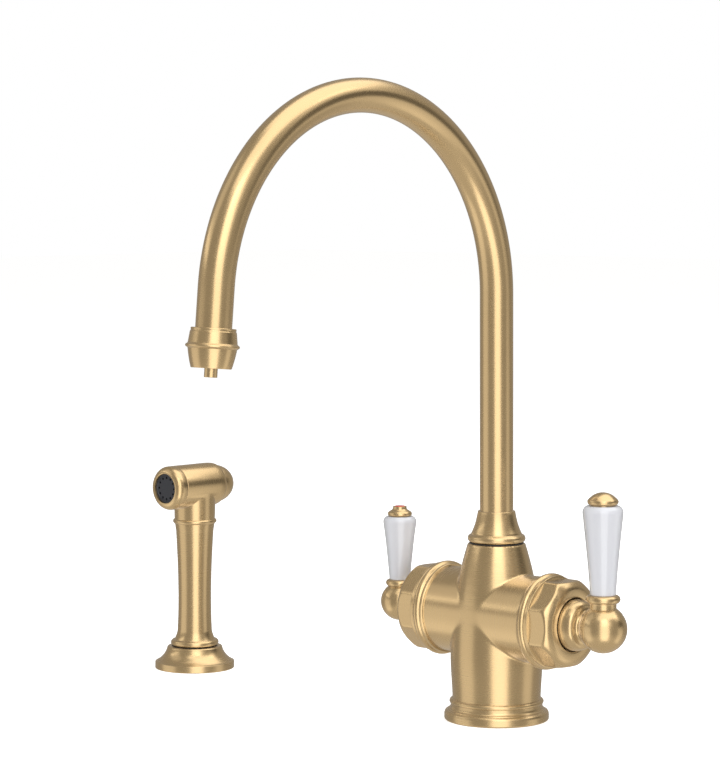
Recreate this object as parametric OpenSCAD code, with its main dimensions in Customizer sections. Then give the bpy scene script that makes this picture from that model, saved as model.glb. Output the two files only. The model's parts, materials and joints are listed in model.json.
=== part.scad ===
// Boiling water tap: a deck column with two side levers, a swivelling high spout and a side spray.
// Millimetres. The origin is the middle of the column's underside, at deck level, and +Z is up.
// The spout points along -Y, and the levers stand on the two arms along X.

/* [Base and body] */
// Greatest radius of the base ring
base_r = 31.3; // [30.5:0.1:33]
// Height of the base ring
base_h = 12.6; // [12:0.1:14]
// Thickness of the base ring, from its opening out to its greatest radius
base_wall = 9.7; // [8.8:0.1:10.6]
// Step from the base ring's greatest radius in to the body's foot
foot_step = 4.9; // [4.3:0.1:5.3]
// Step from the body's foot out to its greatest radius
belly_step = 1.2; // [0.6:0.1:2]
// Height of the greatest radius
belly_z = 38; // [34:1:42]
// Radius of the body at its top edge
body_top_r = 17.2; // [16.8:0.1:18]
// Height of the body's top edge
body_top_z = 104.5; // [102:0.5:108]

/* [Water ways] */
// Radius of the circle on which the four hose ports lie
port_ring_r = 9.3; // [9.1:0.1:9.6]
// Radius of a hose port's thread
port_r = 4.5; // [4:0.1:4.8]
// Depth of a hose port's thread
port_depth = 9; // [7:0.5:10]
// Radius of the thread for the fixing stud
stud_hole_r = 3.4; // [3:0.1:4]
// Depth of the thread for the fixing stud
stud_depth = 8; // [6:0.5:10]
// Radius of the passages that rise through the body
passage_r = 3; // [2.6:0.1:3.2]
// Radius of the drillings between passages and valve chambers
drilling_r = 2.6; // [2:0.1:2.8]

/* [Arms] */
// Height of the arms' axis above the deck
arm_z = 62.6; // [60:0.2:65]
// Radius of an arm
arm_r = 25.5; // [25:0.1:26]
// Distance from the column's axis to the end of an arm's wide part
arm_len = 36.5; // [34:0.5:38]
// Length of the narrow threaded end of an arm
arm_neck_len = 10.5; // [9:0.5:11]
// Step from an arm in to its narrow threaded end
arm_step = 3.5; // [3:0.1:4]
// Wall of the threaded end round the valve chamber
arm_wall = 5; // [4.5:0.1:5.6]
// Distance from the column's axis to the chamber's inner end
chamber_x = 17; // [16:0.5:18]
// How far the ring between arm and nut stands out beyond the arm
ring_over = 2.8; // [2.3:0.1:3.3]
// Width of that ring
ring_w = 6.7; // [6:0.1:7.4]
// Radius of the ring's bead in section
ring_bead_r = 2.6; // [2.2:0.1:2.9]
// Width of the round part at the back of the nut
nut_back_w = 2.4; // [2:0.1:3]
// Wall of the eight-sided nut over the threaded end, at the middle of a flat
nut_wall = 2.8; // [2.4:0.1:3.2]
// Length of the whole nut
nut_len = 17.3; // [16.5:0.1:18]
// Radius of the nut's round front shoulder
nut_shoulder_r = 8.6; // [7.5:0.1:9]
// Width of the nut's front lip, from the threaded end's radius in to its hole
nut_lip = 5.9; // [5.3:0.1:6.3]

/* [Valve cartridges] */
// Thickness of the rubber seal behind the discs
seal_t = 2; // [1.5:0.1:2.5]
// Wall of the cartridge round the ceramic discs
cartridge_wall = 4.5; // [4:0.1:4.9]
// Thickness of a ceramic disc
disc_t = 3.6; // [3:0.1:4]
// Radius of the water holes in the discs
disc_hole_r = 2.5; // [2:0.1:2.8]
// Thickness of the flange that the nut clamps
cartridge_flange_t = 3; // [2.5:0.1:3.5]
// Radius of the spindle
spindle_r = 4; // [3.5:0.1:4.5]
// Radius of the spindle's head inside the lever
spindle_head_r = 5; // [4.8:0.1:5.4]

/* [Right lever] */
// Distance from the lever's inner face to the middle of the ball
right_reach = 26.4; // [25.4:0.1:27.4]
// Radius of the ball
right_ball_r = 14.15; // [13.8:0.05:14.6]
// Radius of the lever's bell at its edge beside the ball
right_bell_r = 12.4; // [12:0.1:12.8]
// Height of the top of the collar above the ball's middle
right_collar_z = 19.6; // [19:0.1:20.2]
// Radius of the collar
right_collar_r = 10.15; // [9.7:0.05:10.6]
// Radius of the porcelain grip at its lower end
right_grip_foot_r = 7.5; // [7.1:0.1:7.7]
// Radius of the porcelain grip near its top
right_grip_top_r = 11.85; // [11:0.05:12.4]
// Height of the porcelain's top above the ball's middle
right_grip_z = 71.4; // [67:0.1:74]
// Radius of the domed cap
right_cap_r = 9.1; // [8.7:0.05:9.5]
// Height of the domed cap
right_cap_h = 7.7; // [7.2:0.1:8.4]

/* [Left lever] */
// Distance from the lever's inner face to the middle of the ball
left_reach = 23.9; // [22.9:0.1:25.4]
// Radius of the ball
left_ball_r = 11.7; // [11.5:0.05:12.2]
// Radius of the lever's bell at its edge beside the ball
left_bell_r = 11.6; // [11.2:0.1:12]
// Height of the top of the collar above the ball's middle
left_collar_z = 13.4; // [13:0.1:14.2]
// Radius of the collar
left_collar_r = 8.6; // [8.2:0.1:9]
// Radius of the porcelain grip at its lower end
left_grip_foot_r = 6.4; // [6.1:0.1:6.8]
// Radius of the porcelain grip near its top
left_grip_top_r = 10.2; // [9.8:0.05:10.6]
// Height of the porcelain's top above the ball's middle
left_grip_z = 52.4; // [50:0.1:56]
// Radius of the stepped cap
left_cap_r = 7.5; // [7.2:0.05:7.8]
// Height of the stepped cap
left_cap_h = 6.1; // [5.8:0.1:6.6]
// Radius of the stepped cap's neck
left_cap_neck_r = 4.25; // [4.1:0.05:4.5]
// Radius of the safety button
button_r = 3.1; // [2.8:0.05:3.2]
// How far the safety button stands out of the cap
button_proud = 0.4; // [0.3:0.1:1]
// Travel of the safety button
button_travel = 2; // [1:0.1:2.2]

/* [Lever parts] */
// Radius of the stud that holds the grip
grip_stud_r = 2.5; // [2.3:0.05:2.7]
// Radius of the rod that the safety button pushes
push_rod_r = 1.2; // [1:0.05:1.3]
// Radius of the screw that holds a lever on its spindle
lever_screw_r = 2; // [1.6:0.1:2.2]

/* [Spout] */
// Outside radius of the spout tube
tube_r = 10; // [9.5:0.1:10.4]
// Wall of the spout tube
tube_wall = 1.5; // [1:0.1:1.7]
// Height of the middle of the bend
bend_z = 254.5; // [230:0.5:280]
// Radius of the bend at the tube's middle
bend_r = 116.4; // [105:0.1:125]
// Angle that the bend turns through
bend_angle = 175; // [165:1:180]
// Straight run from the end of the bend to the nozzle's top
end_run = 21.8; // [18:0.1:35]
// Outside radius of the inner tube for boiling water
inner_tube_r = 3; // [2.8:0.1:3.2]
// Wall of the inner tube
inner_tube_wall = 0.8; // [0.5:0.1:1]

/* [Swivel joint] */
// Radius of the spigot that turns in the body
spigot_r = 12.5; // [12.2:0.1:12.8]
// Depth of the socket in the body
socket_depth = 20.5; // [20:0.5:22]
// Radius of the visible groove under the collar
groove_r = 16.2; // [15.4:0.1:16.6]
// Height of the visible groove under the collar
groove_h = 1.4; // [1:0.1:2]
// Greatest radius of the collar's bead
collar_bead_r = 17.35; // [17:0.05:17.8]
// Height of the collar's bead
collar_bead_h = 4.8; // [4.4:0.1:5.2]
// Height of the whole collar
collar_h = 18.7; // [17:0.1:20]
// Radius of the collar's top edge
collar_top_r = 11.3; // [11.1:0.05:11.8]
// Turn of the spout to each side
swivel_turn = 90; // [60:5:120]

/* [Nozzle] */
// Length of the nozzle
nozzle_len = 21.8; // [20:0.1:24]
// Radius of the nozzle at its top rim
nozzle_top_r = 12.45; // [12.2:0.05:12.7]
// Radius of the nozzle above its middle ring
nozzle_waist_r = 13.5; // [13.2:0.05:13.7]
// Greatest radius of the nozzle's middle ring
nozzle_ring_r = 14.8; // [14.6:0.05:15.2]
// Distance from the nozzle's top to its middle ring
nozzle_ring_s = 9.8; // [9:0.1:10.6]
// Radius of the nozzle at its mouth
nozzle_mouth_r = 11.2; // [10.9:0.05:11.6]
// Radius of the outlet for boiling water
outlet_r = 3.65; // [3.5:0.05:3.9]
// How far that outlet stands out of the nozzle
outlet_proud = 4.9; // [4:0.1:6]
// Number of water holes in the flow ring
flow_holes = 12; // [6:1:14]

/* [Spray holder] */
// Distance from the column's axis to the spray's axis
spray_x = 262.6; // [150:0.1:300]
// Radius of the holder's foot
holder_r = 26.1; // [25.5:0.1:27]
// Height of the foot's upright rim
holder_rim_h = 4.6; // [4:0.1:5.2]
// Radius of the holder at its top
holder_top_r = 18.2; // [17.8:0.1:18.6]
// Height of the holder
holder_h = 13.8; // [13.2:0.1:15]
// Radius of the thread under the holder
holder_thread_r = 12; // [11.6:0.1:12.4]
// Depth of the thread under the holder
holder_thread_depth = 6; // [5:0.1:6.4]

/* [Spray handset] */
// Radius of the handset's spigot in the holder
handset_spigot_r = 9; // [8.6:0.1:9.4]
// Radius of the handset's foot bead
handset_foot_r = 15.8; // [15.4:0.1:16.2]
// Radius of the handle at its narrowest
handle_waist_r = 10.65; // [10.2:0.05:11]
// Radius of the handle under the neck bead
handle_top_r = 12.9; // [12.6:0.1:13.2]
// Height of the joint between handle and head above the deck
handle_top_z = 95.3; // [90:0.1:105]
// Radius of the hose's thread in the handle
hose_thread_r = 4.5; // [4:0.1:5]
// Depth of the hose's thread in the handle
hose_thread_depth = 10; // [8:0.5:14]
// Height of the head's axis above the joint
head_rise = 24.9; // [24:0.1:27]
// Radius of the head
head_r = 14.3; // [14:0.05:14.8]
// Distance from the handle's axis to the back of the front ring
bezel_y = 19; // [18.6:0.1:20]
// Length of the front ring
bezel_len = 8.4; // [7.8:0.1:9.6]
// Radius of the spray face
face_r = 9.5; // [9:0.1:9.8]
// Number of holes in the spray face
face_holes = 12; // [8:1:16]
// Distance from the handle's axis to the back edge of the head
head_back_y = 16.8; // [16:0.1:18]
// Radius of the thumb button where it enters the head
thumb_r = 12.4; // [12:0.05:12.6]
// Length of the thumb button outside the head
thumb_len = 14.5; // [13:0.1:16]
// Travel of the thumb button
thumb_travel = 4; // [2:0.5:4.5]

/* [Fits] */
// Radial clearance of a turning or sliding fit
run_fit = 0.05; // [0.02:0.01:0.08]
// Clearance round pieces that are fixed in place
fixed_fit = 0.05; // [0.02:0.01:0.1]

/* [Hidden] */

$fn = 72;

// Points in each curved stretch of an outline
curve_steps = 10;
// Length by which a cut runs past the face that it opens
cut = 1;
// Radius of the small rounding on turned edges
edge = 0.5;

brass = "#c9a46a";
steel = "#b8bcc0";
porcelain = "#eceaf0";
black_rubber = "#2a2a2c";
white_plastic = "#dcdad2";
black_plastic = "#1e1e20";
alumina = "#f2efe6";

// Turn of the column's outline, so that its seam doesn't lie on the arms' own
seam_turn = 30;

// Base ring and body, all from the base ring's greatest radius
base_bore_r = base_r - base_wall;
body_foot_r = base_r - foot_step;
belly_r = body_foot_r + belly_step;
body_rise = body_top_z - belly_z;

// The base ring's moulding: foot edge, shelf, cove and top bead
base_edge_r = 1.3;
base_rim_z = 3.4;
base_shelf_z = 6;
base_shelf_in = 1.9;
base_cove_z = 9.2;
base_cove_in = 3.8;
base_bead_r = 1.5;
base_bead_in = 4.6;

// The body's outline: how its curves are drawn out at the foot, belly and shoulder
foot_pull = 7;
belly_pull = 8;
belly_share = 0.33;
shoulder_share = 0.3;
shoulder_out = 6.6;

// Radii on an arm, all from the arm's own
arm_neck_r = arm_r - arm_step;
chamber_r = arm_neck_r - arm_wall;
ring_r = arm_r + ring_over;
ring_step = 1.5;
ring_middle_share = 0.64;
nut_flats = 2 * (arm_neck_r + nut_wall);
nut_hole_r = arm_neck_r - nut_lip;
disc_r = chamber_r - fixed_fit - cartridge_wall - run_fit;

// Grooves for the gaskets under the base ring and under the spray's holder
gasket_in_r = base_r - 6.4;
gasket_out_r = base_r - 2.4;
gasket_t = 1.5;
spray_gasket_in_r = holder_r - 6;
spray_gasket_out_r = holder_r - 2.5;
spray_gasket_t = 1.2;

// Spigots of the caps, dish of the collars and start of the grip studs in the balls
cap_spigot_r = 4;
cap_spigot = 4.8;
cap_socket_depth = 5;
stud_start = 0.35;

// Shares of the ball's, bell's and collar's radius that place the lever's necks
bell_reach = 0.93;
cove_share = 0.72;
neck_share = 0.78;
collar_bead_share = 0.235;

// Safety button, above the middle of the left ball
button_len = 3;
button_z = left_grip_z + left_cap_h + button_proud;
stud_top_z = left_grip_z - 1 - fixed_fit;

// Parts of the valve cartridges
spindle_collar_t = 3;
spindle_collar_r = 8;
spindle_seal_r = 0.7;
nose_len = 4;
nose_r = 9;
hub_gap = 0.6;
hub_socket_len = 13;
lever_screw_inset = 10.6;
lever_screw_len = 6.5;
key_depth = 2.5;
hub_rim_r = nut_hole_r - 1;
hub_skirt_len = 6.6;
disc_hole_offset = port_ring_r * cos(45);

// Places along an arm, from the column's axis outwards
neck_end_x = arm_len + arm_neck_len;
nut_x = arm_len + ring_w;
shelf_x = neck_end_x + cartridge_flange_t;
fixed_disc_x = chamber_x + seal_t;
moving_disc_x = fixed_disc_x + disc_t + fixed_fit;
spindle_x = moving_disc_x + disc_t;
cartridge_bore_x = spindle_x + spindle_collar_t + run_fit;
nose_x = shelf_x + nose_len;
hub_x = nose_x + hub_gap;
spindle_end_x = hub_x + hub_socket_len - fixed_fit;
screw_x = hub_x + lever_screw_inset;
right_ball_x = hub_x + right_reach;
left_ball_x = hub_x + left_reach;

// Corners of the eight-sided nut, and how far its round shapes pass outside them
nut_sides = 8;
nut_clear = 0.3;
nut_corner_r = nut_flats / 2 / cos(180 / nut_sides);

// Places on the swivel joint, from the deck up
socket_z = body_top_z - socket_depth;
spigot_gap = 2;
spigot_rise = 7.5;
tube_seat = 6;
spigot_z = socket_z + spigot_gap;
spigot_top_z = body_top_z + spigot_rise;
tube_z = spigot_z + tube_seat;
collar_z = body_top_z + groove_h;
collar_top_z = collar_z + collar_h;
bush_depth = 4;
bush_wall = 1.9;
bush_r = spigot_r + bush_wall;
seal_groove = 1.9;
seal_wire_r = seal_groove / 2;
lower_seal_gap = 2.9;
upper_seal_gap = 3;
lower_seal_z = spigot_z + lower_seal_gap;
upper_seal_z = body_top_z - bush_depth - upper_seal_gap;
seal_groove_r = spigot_r - seal_groove;
stop_z = (lower_seal_z + upper_seal_z) / 2;
stop_groove = 1.2;
stop_groove_r = spigot_r - stop_groove;
stop_tip_r = 1.5;
stop_screw_r = 2;
stop_len = 7.6;
stop_gap = 0.2;
stop_spare_angle = 9;
mixed_x = 8;
cross_rise = 7.5;
cross_z = arm_z + cross_rise;
inner_tube_z = cross_z + drilling_r;
cross_floor_z = cross_z - drilling_r - cut;

// Places along the spout's end, from the end of the bend to the outlet
// The end run starts just inside the bend and is a hair wider, so that the two join in one solid
nozzle_s = end_run;
bend_lap = 1;
run_over = 0.04;
tube_in_nozzle = 9.5;
flow_ring_inset = 14.6;
tube_end_s = nozzle_s + tube_in_nozzle;
flow_ring_s = nozzle_s + flow_ring_inset;
flow_ring_t = 5.6;
flow_ring_r = 9.3;
flow_hole_r = 0.9;
flow_hole_ring_r = 6.5;
outlet_head_len = 5.6;
outlet_head_s = flow_ring_s - outlet_head_len - fixed_fit;
outlet_head_r = 4.6;
outlet_end_s = nozzle_s + nozzle_len + outlet_proud;

// Places on the spray, from the deck up
liner_flange_t = 0.9;
liner_wall = 2;
foot_z = holder_h + liner_flange_t + run_fit;
handset_spigot_z = holder_thread_depth + 1;
head_z = handle_top_z + head_rise;
handle_len = handle_top_z - foot_z;
handle_low_share = 0.368;
handle_high_share = 0.638;
handle_bore_r = 3.6;
hose_washer_r = 4;
hose_washer_bore_r = 2.6;
hose_washer_t = 1.5;
neck_bead = 1.5;
neck_bead_z = handle_top_z + neck_bead + 0.2;

// Places in the spray's head, along its axis, with the front negative
valve_bore_r = 9.5;
seat_front_y = -7;
seat_back_y = -3;
seat_hole_r = 3.2;
gland_front_y = 6.5;
gland_back_y = 9.5;
plunger_r = 2;
washer_r = 5.2;
washer_t = 2.6;
plunger_front_y = seat_front_y - washer_t - 1;
plunger_grip = 4;
face_hole_r = 0.75;
face_ring_r = face_r * 0.74;
thumb_gap = 0.6;
thumb_front_y = gland_back_y + thumb_travel + thumb_gap;
spray_spring_room = 3;
spray_spring_r = 4.2;

// Points on a circle's arc about [x, y], from angle a to angle b
function arc(x, y, r, a, b) =
    [for (i = [0 : curve_steps]) let (t = a + (b - a) * i / curve_steps) [x + r * cos(t), y + r * sin(t)]];

// Points on a smooth curve from p to s, that q and r draw towards them
function curve(p, q, r, s) =
    [for (i = [0 : curve_steps]) let (t = i / curve_steps, u = 1 - t)
        p * u * u * u + q * 3 * u * u * t + r * 3 * u * t * t + s * t * t * t];

// A turned solid about Z, from points [radius, height]
module turned(points) {
    rotate_extrude() polygon(points);
}

// Turns what stands along Z so that it lies along X, outwards
module along_x() {
    rotate([0, 90, 0]) children();
}

// Turns what stands along Z so that it lies along -Y, to the front
module along_front() {
    rotate([90, 0, 0]) children();
}

// Puts a piece on the right arm's axis, or mirrored on the left arm's
module on_arm(right) {
    mirror([right ? 0 : 1, 0, 0]) translate([0, 0, arm_z]) children();
}

// A ring about Z from inner radius a to outer radius b
module ring(a, b, z, h) {
    translate([0, 0, z]) difference() {
        cylinder(r = b, h = h);
        translate([0, 0, -cut]) cylinder(r = a, h = h + 2 * cut);
    }
}

// A round bar of radius r and length h, along Z from z
module bar(r, z, h) {
    translate([0, 0, z]) cylinder(r = r, h = h);
}

// Puts a piece on the stop screw's axis, with Z towards the back
module at_stop() {
    translate([0, 0, stop_z]) rotate([0, 0, 180]) along_front() children();
}

// The body: column, both arms, valve chambers, passages and the spout's socket

module body_outline() {
    turned(concat(
        [[0, base_h]],
        curve([body_foot_r, base_h], [body_foot_r + 0.1, base_h + foot_pull],
              [belly_r, belly_z - belly_pull], [belly_r, belly_z]),
        curve([belly_r, belly_z], [belly_r, belly_z + body_rise * belly_share],
              [body_top_r + shoulder_out, body_top_z - body_rise * shoulder_share],
              [body_top_r + 0.2, body_top_z - edge]),
        [[body_top_r - edge, body_top_z], [0, body_top_z]]
    ));
}

// Both arms are one bar through the column, with a narrow threaded end on each side
module arms() {
    translate([0, 0, arm_z]) along_x() {
        bar(arm_r, -arm_len, 2 * arm_len);
        bar(arm_neck_r, -neck_end_x, 2 * neck_end_x);
    }
}

module ports() {
    for (a = [45 : 90 : 315]) rotate([0, 0, a]) translate([port_ring_r, 0, 0]) children();
}

module body_water_ways() {
    // Hot and cold rise to the right chamber, boiling water to the left one
    for (y = [-1, 1]) {
        translate([disc_hole_offset, y * disc_hole_offset, base_h - cut])
            cylinder(r = passage_r, h = arm_z - base_h + 2 * cut);
        translate([disc_hole_offset, y * disc_hole_offset, arm_z])
            along_x() cylinder(r = drilling_r, h = chamber_x - disc_hole_offset + cut);
    }
    translate([-disc_hole_offset, -disc_hole_offset, base_h - cut])
        cylinder(r = passage_r, h = arm_z - base_h + 2 * cut);
    translate([-chamber_x - cut, -disc_hole_offset, arm_z])
        along_x() cylinder(r = drilling_r, h = chamber_x - disc_hole_offset + cut);
    // The spray's supply drops from the floor of the socket
    translate([-disc_hole_offset, disc_hole_offset, base_h - cut])
        cylinder(r = passage_r, h = socket_z - base_h + 2 * cut);
    // Mixed water rises beside the axis, and boiling water on it
    translate([mixed_x, 0, cross_z]) {
        cylinder(r = drilling_r, h = socket_z - cross_z + cut);
        along_x() cylinder(r = drilling_r, h = chamber_x - mixed_x + cut);
    }
    bar(inner_tube_r + run_fit, cross_floor_z, socket_z - cross_floor_z + cut);
    translate([-chamber_x - cut, 0, cross_z]) along_x() cylinder(r = drilling_r, h = chamber_x + cut);
}

module body() {
    color(brass) difference() {
        union() {
            rotate([0, 0, seam_turn]) body_outline();
            arms();
        }
        for (right = [true, false]) on_arm(right) along_x() bar(chamber_r, chamber_x, neck_end_x);
        body_water_ways();
        bar(spigot_r + 2 * run_fit, socket_z, socket_depth + cut);
        bar(bush_r + fixed_fit, body_top_z - bush_depth, bush_depth + cut);
        at_stop() bar(stop_screw_r + fixed_fit, spigot_r - cut, belly_r);
    }
}

module base_ring() {
    shelf_r = base_r - base_shelf_in;
    cove_r = base_r - base_cove_in;
    color(brass) difference() {
        turned(concat(
            [[0, 0], [base_r - base_edge_r, 0]],
            arc(base_r - base_edge_r, base_edge_r, base_edge_r, -90, 0),
            curve([base_r, base_rim_z], [base_r, base_rim_z + 1.4],
                  [shelf_r + 1.2, base_shelf_z - 0.1], [shelf_r, base_shelf_z]),
            curve([shelf_r - 0.2, base_shelf_z + 0.4], [shelf_r - 1.4, base_shelf_z + 0.6],
                  [cove_r + 0.1, base_cove_z - 1.4], [cove_r, base_cove_z]),
            arc(base_r - base_bead_in, base_h - base_bead_r, base_bead_r, -60, 90),
            [[0, base_h]]
        ));
        translate([0, 0, -cut]) cylinder(r = base_bore_r, h = base_h + 2 * cut);
        ring(gasket_in_r, gasket_out_r, -cut, cut + gasket_t);
    }
}

module base_gasket() {
    color(black_rubber) ring(gasket_in_r + fixed_fit, gasket_out_r - fixed_fit, 0, gasket_t);
}

module inlet_manifold() {
    color(brass) difference() {
        cylinder(r = base_bore_r - fixed_fit, h = base_h);
        translate([0, 0, -cut]) cylinder(r = stud_hole_r, h = stud_depth + cut);
        ports() translate([0, 0, -cut]) cylinder(r = port_r, h = port_depth + cut);
        ports() cylinder(r = passage_r, h = base_h + cut);
    }
}

// The pieces on each arm

module flange_ring(right) {
    step_r = ring_r - ring_step;
    middle = ring_w * ring_middle_share;
    color(brass) on_arm(right) along_x() translate([0, 0, arm_len]) difference() {
        turned(concat(
            [[0, 0], [step_r, 0], [step_r, middle - ring_bead_r]],
            arc(ring_r - ring_bead_r, middle, ring_bead_r, -60, 60),
            [[step_r - 0.4, ring_w], [0, ring_w]]
        ));
        translate([0, 0, -cut]) cylinder(r = arm_neck_r + fixed_fit, h = ring_w + 2 * cut);
    }
}

module bonnet_nut(right) {
    color(brass) on_arm(right) along_x() translate([0, 0, nut_x]) difference() {
        union() {
            cylinder(r = nut_corner_r + nut_clear, h = nut_back_w);
            intersection() {
                rotate([0, 0, 180 / nut_sides]) cylinder(r = nut_corner_r, h = nut_len, $fn = nut_sides);
                turned(concat(
                    [[0, -cut], [nut_corner_r + nut_clear, -cut]],
                    arc(nut_corner_r + nut_clear - nut_shoulder_r, nut_len - nut_shoulder_r,
                        nut_shoulder_r, 0, 76),
                    [[nut_hole_r + 1, nut_len - 0.4], [nut_hole_r - 1, nut_len - 1.6], [0, nut_len - 1.6]]
                ));
            }
        }
        translate([0, 0, -cut]) cylinder(r = nut_hole_r, h = nut_len + 2 * cut);
        translate([0, 0, -cut]) cylinder(r = arm_neck_r + fixed_fit, h = shelf_x - nut_x + cut);
    }
}

module cartridge(right) {
    color(brass) on_arm(right) along_x() difference() {
        union() {
            bar(chamber_r - fixed_fit, fixed_disc_x, shelf_x - fixed_disc_x);
            bar(arm_neck_r - 1, neck_end_x, cartridge_flange_t);
            bar(nose_r, neck_end_x, cartridge_flange_t + nose_len);
        }
        bar(disc_r + run_fit, fixed_disc_x - cut, cartridge_bore_x - fixed_disc_x + cut);
        bar(spindle_r + run_fit, fixed_disc_x, nose_x);
    }
}

module disc_holes(r) {
    for (y = [-1, 1]) translate([0, y * disc_hole_offset, -cut]) cylinder(r = r, h = 2 * cut + disc_t);
    translate([arm_z - cross_z, 0, -cut]) cylinder(r = r, h = 2 * cut + disc_t);
}

module seal(right) {
    color(black_rubber) on_arm(right) along_x() translate([0, 0, chamber_x]) difference() {
        cylinder(r = chamber_r - 1, h = seal_t);
        disc_holes(disc_hole_r + 0.3);
    }
}

module fixed_disc(right) {
    color(alumina) on_arm(right) along_x() translate([0, 0, fixed_disc_x]) difference() {
        cylinder(r = disc_r, h = disc_t);
        disc_holes(disc_hole_r);
    }
}

module moving_disc(right) {
    color(alumina) on_arm(right) along_x() translate([0, 0, moving_disc_x]) difference() {
        cylinder(r = disc_r - run_fit, h = disc_t);
        translate([arm_z - cross_z, 0, -cut]) cylinder(r = disc_hole_r, h = cut + disc_t / 2);
    }
}

module spindle(right) {
    color(brass) on_arm(right) along_x() difference() {
        union() {
            bar(spindle_collar_r, spindle_x, spindle_collar_t);
            bar(spindle_r, spindle_x, hub_x - spindle_x);
            bar(spindle_head_r, nose_x + fixed_fit, spindle_end_x - nose_x - fixed_fit);
        }
        translate([0, 0, neck_end_x]) rotate_extrude()
            translate([spindle_r - spindle_seal_r, 0]) circle(r = spindle_seal_r + fixed_fit);
    }
}

module spindle_seal(right) {
    color(black_rubber) on_arm(right) along_x() translate([0, 0, neck_end_x]) rotate_extrude()
        translate([spindle_r - spindle_seal_r, 0]) circle(r = spindle_seal_r);
}

// The levers

module lever_hub(right, ball_x, ball_r, bell_r, collar_r, collar_z) {
    bell_end_x = ball_x - ball_r * bell_reach;
    cove_r = bell_r * cove_share;
    neck_r = collar_r * neck_share;
    bead = collar_r * collar_bead_share;
    color(brass) on_arm(right) difference() {
        union() {
            along_x() turned(concat(
                [[0, hub_x], [hub_rim_r, hub_x]],
                curve([hub_rim_r, hub_x + hub_skirt_len], [hub_rim_r, bell_end_x - 3.2],
                      [bell_r + 1.3, bell_end_x - 0.5], [bell_r, bell_end_x]),
                curve([bell_r - 0.6, bell_end_x + 0.1], [cove_r + 1.2, bell_end_x],
                      [cove_r, bell_end_x + 0.5], [cove_r, bell_end_x + 1.6]),
                [[cove_r, ball_x - ball_r / 2], [0, ball_x]]
            ));
            translate([ball_x, 0, 0]) {
                sphere(r = ball_r);
                turned(concat(
                    [[0, 0], [neck_r, 0], [neck_r, collar_z - 2 * bead]],
                    arc(collar_r - bead, collar_z - bead, bead, -80, 90),
                    [[0, collar_z]]
                ));
            }
        }
        along_x() bar(spindle_head_r + fixed_fit, hub_x - cut, hub_socket_len + cut);
        translate([ball_x, 0, 0]) bar(grip_stud_r + fixed_fit, ball_r * stud_start, collar_z);
        translate([screw_x, 0, 0]) mirror([0, 0, 1]) bar(lever_screw_r + fixed_fit, 0, hub_rim_r + cut);
        if (!right) translate([ball_x, 0, 0])
            bar(push_rod_r + 2 * run_fit, -button_travel - cut, ball_r);
    }
}

module lever_screw(right) {
    color(steel) on_arm(right) translate([screw_x, 0, 0]) mirror([0, 0, 1]) difference() {
        bar(lever_screw_r, spindle_head_r + fixed_fit, lever_screw_len);
        bar(lever_screw_r / 2, spindle_head_r + lever_screw_len - key_depth, lever_screw_len, $fn = 6);
    }
}

module grip_stud(right, ball_x, from_z, to_z) {
    color(steel) on_arm(right) translate([ball_x, 0, 0]) difference() {
        bar(grip_stud_r, from_z + fixed_fit, to_z - from_z - fixed_fit);
        if (!right) bar(push_rod_r + run_fit, 0, to_z + cut);
    }
}

module grip(right, ball_x, foot_r, top_r, from_z, to_z) {
    shoulder = top_r * 0.35;
    rise = to_z - from_z;
    color(porcelain) on_arm(right) translate([ball_x, 0, 0]) difference() {
        turned(concat(
            [[0, from_z], [foot_r - edge, from_z]],
            curve([foot_r, from_z + edge], [foot_r + 1, from_z + rise * 0.33],
                  [top_r - 1.4, from_z + rise * 0.66], [top_r, to_z - shoulder]),
            curve([top_r, to_z - shoulder], [top_r + 0.1, to_z - shoulder * 0.4],
                  [top_r - 1.5, to_z], [top_r * 0.72, to_z]),
            [[0, to_z]]
        ));
        bar(grip_stud_r + 0.3, from_z - cut, rise + 2 * cut);
        bar(cap_spigot_r + fixed_fit, to_z - cap_socket_depth, cap_socket_depth + cut);
    }
}

module right_cap() {
    z = right_grip_z;
    r = right_cap_r;
    h = right_cap_h;
    rim = 2;
    foot = 0.3;
    color(brass) on_arm(true) translate([right_ball_x, 0, 0]) difference() {
        turned(concat(
            [[0, z - cap_spigot], [cap_spigot_r, z - cap_spigot], [cap_spigot_r, z], [r - rim, z]],
            arc(r - rim, z + foot + rim, rim, -90, 55),
            curve([r * 0.89, z + h * 0.53], [r * 0.76, z + h * 0.68], [r * 0.48, z + h], [0, z + h])
        ));
        bar(grip_stud_r + fixed_fit, z - cap_spigot - cut, cap_spigot + cut);
    }
}

module left_cap() {
    z = left_grip_z;
    r = left_cap_r;
    h = left_cap_h;
    rim = 1.5;
    color(brass) on_arm(false) translate([left_ball_x, 0, 0]) difference() {
        turned(concat(
            [[0, z - cap_spigot], [cap_spigot_r, z - cap_spigot], [cap_spigot_r, z], [r - rim, z]],
            arc(r - rim, z + rim, rim, -90, 60),
            curve([r * 0.88, z + h * 0.48], [r * 0.75, z + h * 0.59],
                  [left_cap_neck_r + 0.15, z + h * 0.64], [left_cap_neck_r, z + h * 0.82]),
            [[left_cap_neck_r, z + h - 0.3], [left_cap_neck_r - 0.3, z + h], [0, z + h]]
        ));
        bar(grip_stud_r + fixed_fit, z - cap_spigot - cut, cap_spigot);
        bar(button_r + run_fit, stud_top_z, z + h - stud_top_z + cut);
    }
}

module safety_button() {
    color("#d8433c") on_arm(false) translate([left_ball_x, 0, 0]) turned(concat(
        [[0, button_z - button_len], [button_r, button_z - button_len]],
        arc(button_r - 0.3, button_z - 0.3, 0.3, 0, 90),
        [[0, button_z]]
    ));
}

module safety_push_rod() {
    color(steel) on_arm(false) translate([left_ball_x, 0, 0])
        bar(push_rod_r, 0, button_z - button_len);
}

module safety_spring() {
    color(steel) on_arm(false) translate([left_ball_x, 0, 0])
        ring(push_rod_r + 0.2, button_r - 0.3, stud_top_z + fixed_fit,
             button_z - button_len - stud_top_z - 2 * fixed_fit);
}

// The swivel joint and the spout

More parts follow.
